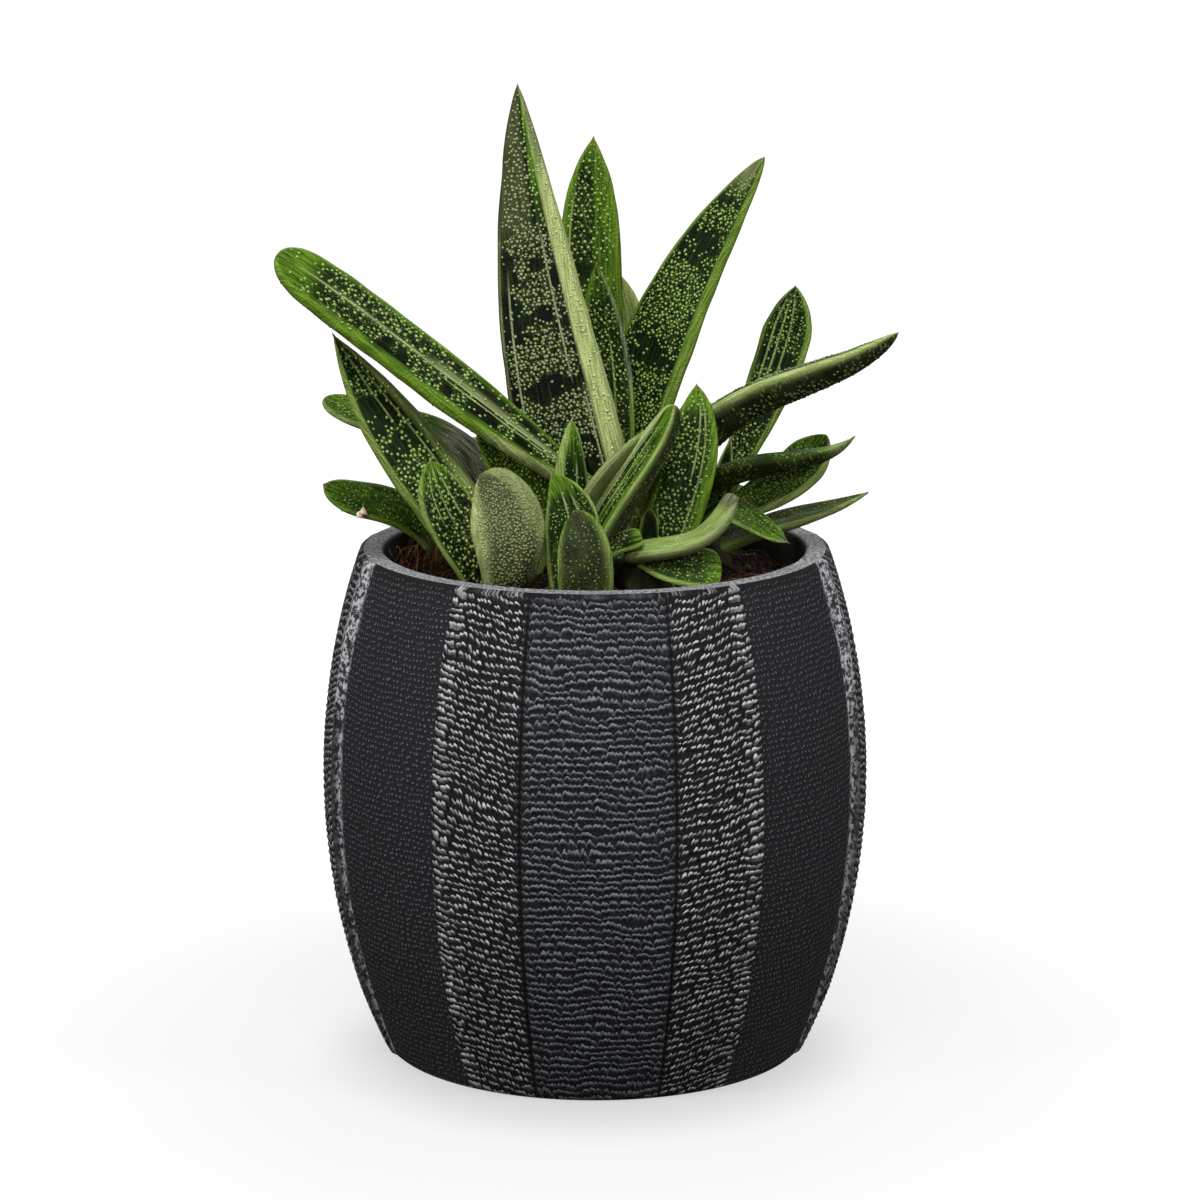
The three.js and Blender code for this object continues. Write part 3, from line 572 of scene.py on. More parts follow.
# What each tone of a wash changes, and to what.
TONES = {
    "lush": dict(green=0.9, edge=1), "dark": dict(green=0, rim=0, pale=0), "sage": dict(edge=0, rim=1),
    "olive": dict(edge=0, rim=0.4), "dusk": dict(edge=0, rim=0.12), "leafy": dict(edge=1, rim=0.07),
    "cream": dict(edge=0.5, rim=0.9), "chalk": dict(edge=0, rim=0.55), "paper": dict(paper=0.85),
}
LOOKS = {
    "main_leaf_1": dict(
        green=0, edge=0.05, dots=1, bands=0.85, pitch=1.25, size=1.12, tip=1.1, full=0.76, spike=0.6,
        back=0.3, strip_dots=0.4,
        lines=[(-0.72, 0.02, 0.62), (0.62, 0.42, 0.72), (0.86, 0, 0.36)],
        washes=[
            ("dark", -3, -1, 0, 1.2), ("dusk", -3, 0.35, 0.72, 1.2),
            ("lush", 0.6, 1, 0.78, 1.2), ("olive", 1, 2, 0.86, 1.2)]),
    "main_leaf_2": dict(
        green=0.05, edge=0.8, dots=0.8, bands=0.45, pitch=1.75, straight=0.7, tip=1.1, size=1.12,
        lines=[(0.05, 0.3, 0.62), (-0.75, 0.5, 0.85)],
        washes=[
            ("lush", 0.25, 2, 0.2, 1.1), ("dark", 0.4, 0.5, 0, 0.8), ("lush", -2, -0.8, 0.5, 1.1),
            ("lush", -2, 2, 0.95, 1.1)]),
    "main_leaf_3": dict(
        green=0.05, edge=0.8, dots=0.85, bands=0.3, pitch=1.6, straight=0.6, tip=0.95,
        lines=[(0.35, 0.1, 0.7)], washes=[("lush", -2, -0.7, 0.4, 1.1), ("paper", 0.95, 1.45, 0.5, 1.1)]),
    "main_leaf_4": dict(green=0.7, edge=0.8, dots=0.1, washes=[("cream", -2, 2, 0, 1.1)]),
    "main_leaf_5": dict(
        green=0.03, edge=0.9, dots=1, bands=0.85, pitch=1.25, size=1.05, tip=1.1, spike=0.3,
        washes=[("dark", 2.2, 3, 0.4, 1.1), ("olive", -2, 0.6, 0.9, 1.1)]),
    "main_leaf_6": dict(
        green=0, edge=0.7, side=0.5, dots=0.75, bands=0.75, pitch=1.6, size=1.3, tip=1.1, spike=0, back=0,
        lines=[(0.1, 0.05, 0.93), (-0.1, 0.05, 0.45)],
        washes=[
            ("lush", -3, 3, 0.88, 1.1), ("lush", 0.82, 2, 0.12, 1.1), ("lush", -1.2, -0.82, 0, 1.1),
            ("chalk", 0.1, 0.35, 0, 0.5), ("chalk", 0.05, 0.15, 0.45, 0.85), ("sage", -2, -1, 0, 0.3)]),
    "main_leaf_7": dict(edge=0.25, side=0.1, back=0.06, back_dots=0.9, size=1.15, spike=0.5),
    "left_leaf_1": dict(
        green=0.05, edge=0.75, dots=0.9, bands=0.75, tip=1.1, spike=0.8, pitch=1.55, size=1.3,
        lines=[(0.5, 0.5, 0.85), (0.1, 0.7, 0.95)], washes=[("cream", 0.72, 2, 0, 1.1)]),
    "left_leaf_2": dict(
        green=0, edge=0.7, dots=0.85, bands=0.8, pitch=1.65, size=1.3, tip=0.86,
        lines=[(-0.4, 0.6, 0.95), (0, 0.55, 0.97), (0.4, 0.6, 0.95)], washes=[("lush", -2, 2, 0.9, 1.1)]),
    "left_leaf_3": dict(
        edge=0.05, side=0.7, back=0.5, back_dots=1, pitch=1.0, size=0.95, spike=0.3,
        washes=[("sage", 1, 2.2, 0, 1.1), ("dark", -3, -1, 0, 0.2), ("olive", -2.2, -1, 0.55, 1.1)]),
    "left_leaf_4": dict(green=0.55, edge=0.95, dots=1, bands=0.4, pitch=1.3),
    "west_leaf_1": dict(green=0.4, edge=0.95, side=0.6, dots=0.5, bands=0.3, size=0.75, spike=0.5),
    "west_leaf_2": dict(
        green=0.3, edge=0.6, dots=0.6, back=0.6, spike=0, washes=[("paper", -3, 3, 0, 0.45)]),
    "front_leaf_1": dict(green=0.1, edge=0.6, dots=0.6, tip=0.8, size=0.75, lines=[(0.2, 0.2, 0.7)]),
    "front_leaf_2": dict(
        green=0.08, edge=0.6, dots=0.7, tip=0.85, size=0.75, spike=0.3,
        lines=[(-0.1, 0.45, 0.85), (0.35, 0.5, 0.8)], washes=[("lush", -2, 2, 0.86, 1.1)]),
    "front_leaf_3": dict(
        edge=0.7, back=0.12, back_dots=0.75, size=0.75, spike=0.3, washes=[("lush", -2, 2, 0.86, 1.1)]),
    "front_leaf_4": dict(
        green=0.1, edge=0.45, side=0.2, dots=0.6, size=0.85, back=0.12, back_dots=0.95, spike=0.3,
        lines=[(-0.5, 0.1, 0.8), (-0.1, 0.3, 0.9), (0.35, 0.1, 0.75)],
        washes=[("sage", -2, -0.6, 0, 1.1), ("lush", -0.1, 0.15, 0.1, 1), ("lush", 0.7, 1, 0, 1)]),
    "right_leaf_1": dict(
        green=0.08, edge=0.7, dots=0.95, bands=0.35, tip=0.92, pitch=1.4, size=1.12,
        lines=[(0.62, 0.05, 0.9), (0.3, 0.55, 0.9)],
        washes=[("lush", -2, 2, 0.9, 1.1), ("lush", 0.74, 2, 0, 1.1), ("lush", -2, -0.82, 0, 1.1)]),
    "right_leaf_2": dict(
        green=1, edge=0.3, side=0.1, dots=0.15, back=0.2, back_dots=0.9, strip_dots=0.7, size=0.9, spike=0,
        washes=[("cream", -3, 0.9, 0, 0.9), ("chalk", 0.9, 3, 0.1, 1), ("paper", -3, 3, 0.92, 1.2)]),
    "right_leaf_3": dict(green=0.15, edge=0.7, dots=0.4, size=0.75, spike=0),
    "right_leaf_4": dict(green=0.05, edge=0.8, dots=0.3, size=0.7, spike=0),
    "east_leaf_1": dict(
        green=0.03, edge=0.85, dots=0.85, bands=0.8, tip=1.1, pitch=1.5,
        lines=[(-0.25, 0.5, 0.93), (0.15, 0.5, 0.95), (-0.6, 0.6, 0.93)]),
    "east_leaf_2": dict(
        green=0.05, edge=0.7, side=0.1, dots=0.1, back=0.05, back_dots=0.55, size=0.85, spike=0.8,
        washes=[("leafy", -3, 3, 0, 1.1), ("olive", -3, 3, 0.85, 1.1)]),
    "east_leaf_3": dict(
        green=0.45, edge=0.6, side=1, dots=1, bands=0.2, pitch=1.15, size=0.85, back=0.5, spike=0,
        washes=[("paper", 0.6, 3, 0.94, 1.2)]),
    "east_leaf_4": dict(
        green=0.5, edge=0.45, side=1, dots=0.7, pitch=1.3, size=0.8, back=0.35, spike=0.5, tip=1.1),
    "east_leaf_5": dict(
        green=0.4, edge=0.8, dots=0.3, bands=0.2, size=0.7, spike=1, washes=[("paper", -3, 3, 0.93, 1.2)]),
    "east_leaf_6": dict(green=0, edge=0.3, dots=0.1),
    "main_leaf_8": dict(edge=0.2, back=0.9, back_dots=0.1, spike=0.3, washes=[("chalk", -3, 3, 0, 1.1)]),
}

KNOTS = (0, 1 / 3, 2 / 3, 1)
SAMPLES = (9, 9, 3, 5, 5, 5, 5, 3)  # points between a section's corners, starting on the face
STARTS = np.cumsum((0, *SAMPLES))  # the columns of those corners
FACE = (STARTS[0], STARTS[2])  # the columns where the face starts and ends
STRIP = (STARTS[2], STARTS[3])  # those of the slanted strip on its right
BACK = (STARTS[3] + 2, STARTS[7])  # and those of the back
UNDER = np.zeros(STARTS[-1])  # 0 on a section's face and 1 on its back
UNDER[STARTS[3]:STARTS[7]] = 1
ROW_STEP = 1.25  # mm between a leaf's rows of points, on average
ROW_LIMITS = (22, 96)  # its fewest and most rows
ROW_CROWDING = 1.5  # how much closer the rows stand towards the tip
LAST_ROW = 0.9985  # the share of the length where they end at the latest


def unit(vectors):
    return vectors / np.maximum(np.linalg.norm(vectors, axis=-1, keepdims=True), 1e-9)


def along(route, t):
    """The cubic through a route's four points, at shares t of its length."""
    weights = [
        np.prod([(t - other) / (knot - other) for other in KNOTS if other != knot], axis=0)
        for knot in KNOTS
    ]
    return np.stack(weights, -1) @ np.asarray(route, float)


def breadth(leaf, t):
    root, widest = leaf["root"], leaf["widest"]
    rising = root + (1 - root) * np.sin(np.pi / 2 * np.minimum(t / widest, 1))
    past = np.clip((t - widest) / (1 - widest), 0, 1)
    return np.where(t < widest, rising, (1 - past ** leaf["fullness"]) ** leaf["point"])


def corners(leaf, t):
    """Each section's eight corners, as places across and up from the middle of the face, and its depth."""
    share = breadth(leaf, t)
    taper = np.where(t > leaf["widest"], np.minimum(1, share**0.7), 1)
    half = np.maximum(leaf["width"] * share, 0.3)
    depth = np.maximum(leaf["depth"] * (1 - 0.35 * t) * taper, 0.6)
    margin = np.minimum(np.maximum(leaf["edge"] * taper, 0.3), np.minimum(0.9 * half, 0.8 * depth))
    left, right = (np.minimum(strip * taper, 0.5 * half) for strip in leaf["bevel"])
    dish = leaf["dish"] * taper * np.minimum(1, half / 6)
    ridge = leaf["keel"] * half
    shoulder, brink = -margin - (depth - margin) * 0.72, -0.55 * margin
    zero = np.zeros_like(t)
    section = [
        (left - half, zero), ((left - right) / 2, dish), (half - right, zero), (half, brink),
        ((half + ridge) / 2, shoulder), (ridge, -depth), ((ridge - half) / 2, shoulder), (-half, brink),
    ]
    return np.stack([np.stack(pair, -1) for pair in section], 1), depth


def rounded(section):
    """A closed smooth curve through each section's corners."""
    before, after, later = np.roll(section, 1, 1), np.roll(section, -1, 1), np.roll(section, -2, 1)

    def gap(first, second):
        return np.linalg.norm(second - first, axis=-1, keepdims=True) ** 0.5 + 1e-6

    a, b, c = gap(before, section), gap(section, after), gap(after, later)
    chord = after - section
    leaving = chord + b * ((section - before) / a - (after - before) / (a + b))
    arriving = chord + b * ((later - after) / c - (later - section) / (b + c))
    columns = []
    for corner, count in enumerate(SAMPLES):
        for s in np.arange(count) / count:
            columns.append(
                section[:, corner] * (2 * s**3 - 3 * s**2 + 1) + leaving[:, corner] * (s**3 - 2 * s**2 + s)
                + after[:, corner] * (3 * s**2 - 2 * s**3) + arriving[:, corner] * (s**3 - s**2))
    return np.stack(columns, 1)


def leaf_shape(leaf):
    """The grid of a leaf's points, with each one's place across and along the leaf."""
    route = np.asarray(leaf["route"], float)
    length = np.linalg.norm(np.diff(along(route, np.linspace(0, 1, 40)), axis=0), axis=1).sum()
    rows = int(np.clip(length / ROW_STEP, *ROW_LIMITS))
    t = 1 - (1 - np.arange(rows) / rows) ** ROW_CROWDING
    t[-1] = min(t[-1], LAST_ROW)
    centre = along(route, t)
    heading = unit(along(route, t + 0.001) - along(route, t - 0.001))
    face = unit(np.asarray(leaf["face"], float))
    normal = unit(face - heading * (heading @ face)[:, None])
    across = np.cross(heading, normal)
    section, depth = corners(leaf, t)
    curve = rounded(section)
    side, height = curve[..., 0:1], curve[..., 1:2] + 0.4 * depth[:, None, None]
    points = centre[:, None] + across[:, None] * side + normal[:, None] * height
    return {
        "points": points, "side": curve[..., 0], "rows": t, "length": length,
        "left": section[:, 0, 0:1], "right": section[:, 2, 0:1],
        "tip": along(route, np.array([1.0]))[0], "heading": heading[-1],
    }


def outward(points):
    """Unit normals of a closed grid of points."""
    down = np.gradient(points, axis=0)
    over = np.roll(points, -1, 1) - np.roll(points, 1, 1)
    return unit(np.cross(over, down))


def band_of(side, run, seed, strength):
    """How densely dotted each place on a leaf is: irregular cross bands with bare gaps between."""
    wave = noise(run / 5.2 + 0.35 * noise(side / 5, run / 9, seed + 3), side / 15, seed)
    wave = wave + 0.4 * noise(run / 2.4, side / 4, seed + 1)
    return 1 - strength + strength * smooth(-0.38, 0.02, wave)


def lines_of(shape, lines):
    """How far each place lies beside each of a leaf's stripes, and how strongly each stripe shows there."""
    side, t = shape["side"], shape["rows"][:, None]
    left, right = shape["left"], shape["right"]
    beside, shown = np.full((*side.shape, MAX_LINES), 9.0), np.zeros((*side.shape, MAX_LINES))
    for index, (place, start, end) in enumerate(lines):
        beside[..., index] = side - left - (right - left) * (place + 1) / 2
        ends = smooth(start - 0.03, start + 0.03, t) * (1 - smooth(end - 0.05, end + 0.05, t))
        shown[..., index] = ends
    shown[:, FACE[1]:] = 0
    return beside, shown


def rim_of(shape, reach):
    """1 on the margins and the strips beside the face, fading onto the face and, past reach, the back."""
    side = shape["side"]
    rim = np.zeros_like(side)
    left, right = shape["left"], shape["right"]
    inside = np.minimum(side - left, right - side)
    rim[:, :FACE[1] + 1] = 1 - smooth(-0.1, 0.55, inside[:, :FACE[1] + 1])
    rim[:, STARTS[2]:STARTS[3] + 1] = 1
    rim[:, STARTS[7]:] = 1
    fade = np.arange(SAMPLES[3]) / SAMPLES[3]
    rim[:, STARTS[3]:STARTS[4]] = 1 - smooth(reach - 0.35, reach + 0.25, fade)
    rim[:, STARTS[6]:STARTS[7]] = smooth(0.75 - reach, 1.35 - reach, fade)
    return rim


def unrolled(shape):
    """Places across a leaf: -1 to 1 on the face, on past the margins, and plus or minus 3 at the keel."""
    side = shape["side"]
    left, right = shape["left"], shape["right"]
    place = 2 * (side - left) / np.maximum(right - left, 0.1) - 1
    half = np.abs(side).max(1, keepdims=True)
    beneath = np.sign(side) * (3 - 1.5 * np.abs(side) / half)
    return np.where(UNDER > 0, beneath, place)


def painted(shape, look):
    """Each place's greenness, edge, pallor, rim and papery share, after the leaf's washes."""
    place, t = unrolled(shape), shape["rows"][:, None]
    paint = {"green": look["green"], "edge": look["edge"], "pale": look["back"], "paper": 0}
    paint["rim"] = rim_of(shape, look["side"])
    for tone, low, high, start, end in look["washes"]:
        share = smooth(low - 0.1, low + 0.1, place) * (1 - smooth(high - 0.1, high + 0.1, place))
        share = share * smooth(start - 0.05, start + 0.05, t) * (1 - smooth(end - 0.05, end + 0.05, t))
        for key, value in TONES[tone].items():
            paint[key] = paint[key] * (1 - share) + value * share
    return [paint[key] + 0 * place for key in ("green", "edge", "pale", "rim", "paper")]


BEAD_SIDES = 6
BEAD_FOOT, BEAD_TOP = -0.2, 0.9  # the heights of a dot's edge and middle, before it is flattened
BEAD_HEIGHT, BEAD_LENGTH = 0.45, 1.08  # how far it is flattened, and drawn out along the leaf
BEAD_RADIUS, BEAD_SPREAD = 0.4, 0.22  # the smallest dot's radius in mm, and how much larger others are
EDGE_CLEAR = 0.5  # mm that the dots keep from the side's edges


def bead_template():
    turn = full_turn(BEAD_SIDES)
    foot = np.stack([np.cos(turn), np.sin(turn), np.full(BEAD_SIDES, BEAD_FOOT)], 1)
    points = np.concatenate([foot, [[0, 0, BEAD_TOP]]])
    ring = np.arange(BEAD_SIDES)
    top = np.stack([ring, (ring + 1) % BEAD_SIDES, np.full(BEAD_SIDES, BEAD_SIDES)], 1)
    return points, [top, ring[::-1][None]]


def dot_places(shape, columns, density, look, seed):
    """Rows, columns and sizes of the dots on one side of a leaf, gathered in its cross bands."""
    side = shape["side"][:, columns[0]:columns[1] + 1]
    run = shape["rows"] * shape["length"]
    pitch, plain_from = look["pitch"], look["tip"]
    widest = np.abs(side).max()
    across = np.arange(-widest, widest, pitch)
    down = np.arange(1.5, shape["length"] - 1.2, pitch * 0.9)
    grid_down, grid_across = np.meshgrid(down, across, indexing="ij")
    number = np.arange(grid_down.size).reshape(grid_down.shape)
    grid_across = grid_across + (np.arange(len(down)) % 2)[:, None] * pitch / 2
    grid_across = grid_across + (hashed(number, 1, seed) - 0.5) * 0.75 * pitch * (1 - look["straight"])
    grid_down = grid_down + (hashed(number, 2, seed) - 0.5) * 0.7 * pitch
    row = np.interp(grid_down.ravel(), run, np.arange(len(run)))
    place = grid_across.ravel()
    whole = np.minimum(row.astype(int), len(run) - 2)
    part = (row - whole)[:, None]
    ladder = side[whole] * (1 - part) + side[whole + 1] * part
    flipped = ladder[0, 0] > ladder[0, -1]
    if flipped:
        ladder = ladder[:, ::-1]
    low, high = ladder[:, 0], ladder[:, -1]
    inside = np.minimum(place - low, high - place)
    band = band_of(place, grid_down.ravel(), seed, look["bands"])
    t = np.interp(row, np.arange(len(run)), shape["rows"])
    band = np.maximum(band, smooth(look["full"] - 0.05, look["full"] + 0.05, t))
    fading = 1 - 0.75 * smooth(plain_from, plain_from + 0.1, t)
    chance = density * (0.08 + 0.9 * band) * fading
    keep = (inside > EDGE_CLEAR) & (hashed(number.ravel(), 3, seed) < chance)
    row, place, whole, ladder, inside = row[keep], place[keep], whole[keep], ladder[keep], inside[keep]
    steps = np.arange(ladder.shape[1])
    column = np.array([np.interp(p, rungs, steps) for p, rungs in zip(place, ladder)]).reshape(-1)
    column = columns[0] + (ladder.shape[1] - 1 - column if flipped else column)
    size = BEAD_RADIUS + BEAD_SPREAD * hashed(number.ravel()[keep], 4, seed)
    size = size * look["size"] * (0.8 + 0.2 * smooth(0.8, 2.5, inside))
    return row, column, size


def on_grid(values, row, column):
    """A grid's values at fractional rows and columns, with its columns closed."""
    top, left = np.floor(row).astype(int), np.floor(column).astype(int)
    top = np.minimum(top, values.shape[0] - 2)
    fy, fx = (row - top)[:, None], (column - left)[:, None]
    right = (left + 1) % values.shape[1]
    upper = values[top, left] * (1 - fx) + values[top, right] * fx
    lower = values[top + 1, left] * (1 - fx) + values[top + 1, right] * fx
    return upper * (1 - fy) + lower * fy


def add_dots(build, points, normals, row, column, size, values):
    """Raises a small closed bead at each place on a leaf's grid."""
    if not len(row):
        return
    template, faces = bead_template()
    centre, normal = on_grid(points, row, column), unit(on_grid(normals, row, column))
    ahead = on_grid(np.gradient(points, axis=0), row, column)
    ahead = unit(ahead - normal * (ahead * normal).sum(1, keepdims=True))
    beside = np.cross(ahead, normal)
    x, y, z = (template[:, axis][None, :, None] for axis in range(3))
    radius = size[:, None, None]
    beads = centre[:, None] + beside[:, None] * x * radius + ahead[:, None] * y * radius * BEAD_LENGTH
    beads = beads + normal[:, None] * z * radius * BEAD_HEIGHT
    count = len(template)
    shifts = np.arange(len(row)) * count
    blocks = [(block[None] + shifts[:, None, None]).reshape(-1, block.shape[1]) for block in faces]
    spread = {name: np.repeat(on_grid(value, row, column), count, 0) for name, value in values.items()}
    own = np.tile([BEAD_BLEND] * BEAD_SIDES + [1.0], len(row))
    spread["mark"] = spread["mark"] + own[:, None] * (0, 1, 0)
    build.add(beads.reshape(-1, 3), blocks, **spread)


def add_leaf(build, leaf, look, seed):
    """Adds a leaf's skin and its dots to a piece."""
    shape = leaf_shape(leaf)
    points, side, t = shape["points"], shape["side"], shape["rows"][:, None]
    zeros = 0 * side
    run = t * shape["length"] + zeros
    under = UNDER + zeros
    away = outward(points)
    ripple = noise(side / 3.1, run / 6.5, seed) * 0.16 + noise(side / 1.3, run / 16, seed + 2) * 0.08
    points = points + away * (ripple * smooth(0, 0.1, t) * (1 - smooth(0.9, 1, t)))[..., None]
    band = band_of(side, run, seed, look["bands"])
    tip = smooth(look["tip"] - 0.12, look["tip"] + 0.08, t) + zeros
    brown = (1 - smooth(0.1, 1.0, (1 - t) * shape["length"])) * min(1.6 * look["spike"], 1) + zeros
    root = (1 - smooth(0.0, 0.16, t)) + zeros
    green, edge, pale, rim, paper = painted(shape, look)
    beside, shown = lines_of(shape, look["lines"])
    values = {
        "place": np.stack([side + 60 * under, run, zeros + 31 * seed], -1),
        "zone": np.stack([rim, under, paper], -1),
        "look": np.stack([green, edge, pale], -1),
        "mark": np.stack([band, zeros, zeros], -1),
        "line_side": beside,
        "line_shown": shown,
        "ends": np.stack([tip, root, brown], -1),
    }
    ends = np.array([points[0].mean(0), shape["tip"] + shape["heading"] * look["spike"]])
    skin = np.concatenate([points.reshape(-1, 3), ends])
    flat = {
        name: np.concatenate([value.reshape(-1, 3), value[0, :1], value[-1, :1]])
        for name, value in values.items()
    }
    build.add(skin, skin_faces(*side.shape), **flat)
    normals = outward(points)
    spans = ((FACE, look["dots"]), (BACK, look["back_dots"]), (STRIP, look["strip_dots"]))
    for number, (span, density) in enumerate(spans):
        row, column, size = dot_places(shape, span, density, look, seed + 50 * number)
        add_dots(build, points, normals, row, column, size, values)


def back_leaf(owner, lean, reach, tip, width, arch):
    x, y, radius, top = STEMS[owner]
    way = np.array([math.cos(math.radians(lean)), math.sin(math.radians(lean))])
    root = top - ROOT_DEPTH
    route = []
    for t in KNOTS:
        out = radius / 2 + (reach - radius / 2) * t
        bow = arch * 4 * t * (1 - t) * 0.75 * reach
        route.append((x + way[0] * out, y + way[1] * out, root + (tip - root) * t + bow))
    slope = (tip - root) / reach
    return {**BACK_FORM, "route": route, "width": width, "depth": width * 0.6, "face": (*(-slope * way), 1)}


def all_leaves():
    leaves = {name: {**PLAIN_FORM, **form} for name, form in LEAVES.items()}
    for owner, forms in BACK_LEAVES.items():
        for number, *form in forms:
            leaves[f"{owner}_leaf_{number}"] = back_leaf(owner, *form)
    return leaves


def varied(name, seed):
    """A leaf's look: its own words over the plain look, which varies a little from leaf to leaf."""
    look = dict(PLAIN_LOOK)
    look["green"] += 0.25 * hashed(seed, 7, 1)
    look["edge"] += 0.35 * (hashed(seed, 8, 1) - 0.5)
    look["back"] += 0.5 * hashed(seed, 9, 1)
    look.update(LOOKS.get(name, {}))
    return look


# ---------------------------------------------------------------------------- the stems and a dry scale

STEM_SIDES = 28
STEM_FOOT = 118  # the height where it ends in the soil
YOUNG_LEAVES = 3
FLAKE_PLACE = np.array([-63.7, -2.3, 149.7])
FLAKE_OUTLINE = np.array([
    (-1.5, -1), (0.2, -1.4), (1.6, -0.8), (1.3, 0.6), (0.3, 1.8), (-0.5, 0.6), (-1.3, 0.4)])
FLAKE_LEAN = np.array([[1, 0.2, 0], [0, 0.28, 0.95]])  # where its two directions lie


def add_stem(build, x, y, radius, top, seed):
    """A short stem, closed by young leaves."""
    levels = [
        (0.85, STEM_FOOT), (1, 128), (1, 134), (0.97, 137), (0.9, top - 8), (0.8, top - 6),
        (0.62, top - 3.5), (0.42, top - 1.6), (0.2, top - 0.7),
    ]
    turn = full_turn(STEM_SIDES)
    rings = [
        turned(radius * share * (1 + 0.05 * np.sin(3 * turn + height)), turn, height) + (x, y, 0)
        for share, height in levels
    ]
    skin = np.concatenate([*rings, [[x, y, STEM_FOOT], [x, y, top - 0.5]]])
    girth = np.concatenate([np.tile(turn * radius, len(levels)), [0, 0]])
    # The stem takes the leaves' dark underside colour with little dry brown, partly a painted shade, as it
    # stands in the shadow of its leaves.
    build.add(
        skin, skin_faces(len(levels), STEM_SIDES),
        place=np.stack([girth, skin[:, 2], np.full(len(skin), 31.0 * seed)], 1), zone=(0, 1, 0),
        look=(0.3, 0.2, 0), mark=(0, 0, 0), ends=(0, 0, 0.1), line_side=(9, 9, 9), line_shown=(0, 0, 0))
    for bud in range(YOUNG_LEAVES):
        angle = 2 * np.pi * (bud / YOUNG_LEAVES + hashed(seed, bud, 5) * 0.2)
        way = np.array([math.cos(angle), math.sin(angle)])
        outs = np.linspace(0.3 * radius, 0.45 * radius, 4)
        heights = np.linspace(top - 5, top + 7 + 3 * hashed(seed, bud, 6), 4)
        route = [(x + way[0] * out, y + way[1] * out, height) for out, height in zip(outs, heights)]
        young = {
            **BACK_FORM, "route": route, "width": 0.4 * radius, "depth": 0.2 * radius, "edge": 0.8,
            "bevel": (0.5, 0.5), "face": (*(-way), 0.15)}
        look = {**PLAIN_LOOK, "green": 0.2, "edge": 0.8, "dots": 0.5, "back": 0, "back_dots": 0.2}
        add_leaf(build, young, look, seed + bud)


def add_dry_scale(build):
    """A small crumpled flake that sticks to the lower margin of a leaf at the left."""
    count = len(FLAKE_OUTLINE)
    front = FLAKE_OUTLINE @ FLAKE_LEAN + FLAKE_PLACE + (0, -0.35, 0)
    points = np.concatenate([front, front + (0, 0.5, 0.1), [FLAKE_PLACE + (0.1, -0.9, 0.2)]])
    ring = np.arange(count)
    after = (ring + 1) % count
    top = np.stack([ring, after, np.full(count, 2 * count)], 1)
    wall = np.stack([after, ring, ring + count, after + count], 1)
    build.add(points, [top, wall, (ring[::-1] + count)[None]], tone=(0, 0, 0))


# ---------------------------------------------------------------------------- the pot

POT_HEIGHT = 140
BELLY_HEIGHT = 77
BELLY_RADIUS = 74.8
SIDE_ARC = 192  # radius of the arc that the pot's side follows
EDGE_BEVEL = 0.8
RIM_INNER = 58.2
FLOOR_HEIGHT = 8

# The relief of the pot's side over a quarter turn from the front: degrees, then millimetres outward.
RELIEF = [
    (0, 0), (8, 0), (15.3, 0), (16, -0.7), (16.7, 0.1), (24, 0.6), (31.4, 1), (33, 1.5), (35, 1.4),
    (35.8, -0.8), (44, -0.8), (53, -0.8), (62, -0.8), (70.2, -0.8), (71, 1.4), (73, 1.5), (74.6, 1),
    (82, 0.6), (89.3, 0.1), (90, -0.7),
]
FADE = [(0.8, 0.3), (8, 0.6), (20, 1), (122, 1), (132, 0.8), (139.2, 0.5)]  # height, share of the relief
CAVITY = [(50, 8), (57, 16), (64, 45), (66, 77), (63, 110), (59, 126), (57.7, 132), (57.7, 139.5)]
SEAMS = (-16, 16, 90, 164, 196, 270, 344)  # the grooves where the side's pieces meet
PANEL_EDGE = 16  # degrees from the middle of a wide panel to its grooves
STEP_ROUND = 0.95  # degrees between the side's columns
STEP_UP = 0.5  # mm between its rows
ROW_PITCH = 2.08  # mm between the rows of scales
DOT_PITCH = 1.6  # and between those of dots on the plain panels
WIDE_SCALES, OTHER_SCALES = 380, 300  # how many would go round the pot in one row
NARROW_RISE, WIDE_RISE, DOT_RISE = 0.36, 0.3, 0.14  # mm that a scale or a dot stands out
LIP_RISE = 0.25  # and how much more a scale does on a ridge
RIM_SIDES = 240


def folded(angle):
    """An angle round the pot as its place in the first quarter, which the others mirror."""
    turned = np.mod(angle, 180)
    return np.where(turned > 90, 180 - turned, turned)


def side_radius(height):
    return BELLY_RADIUS - SIDE_ARC + np.sqrt(SIDE_ARC**2 - (height - BELLY_HEIGHT) ** 2)


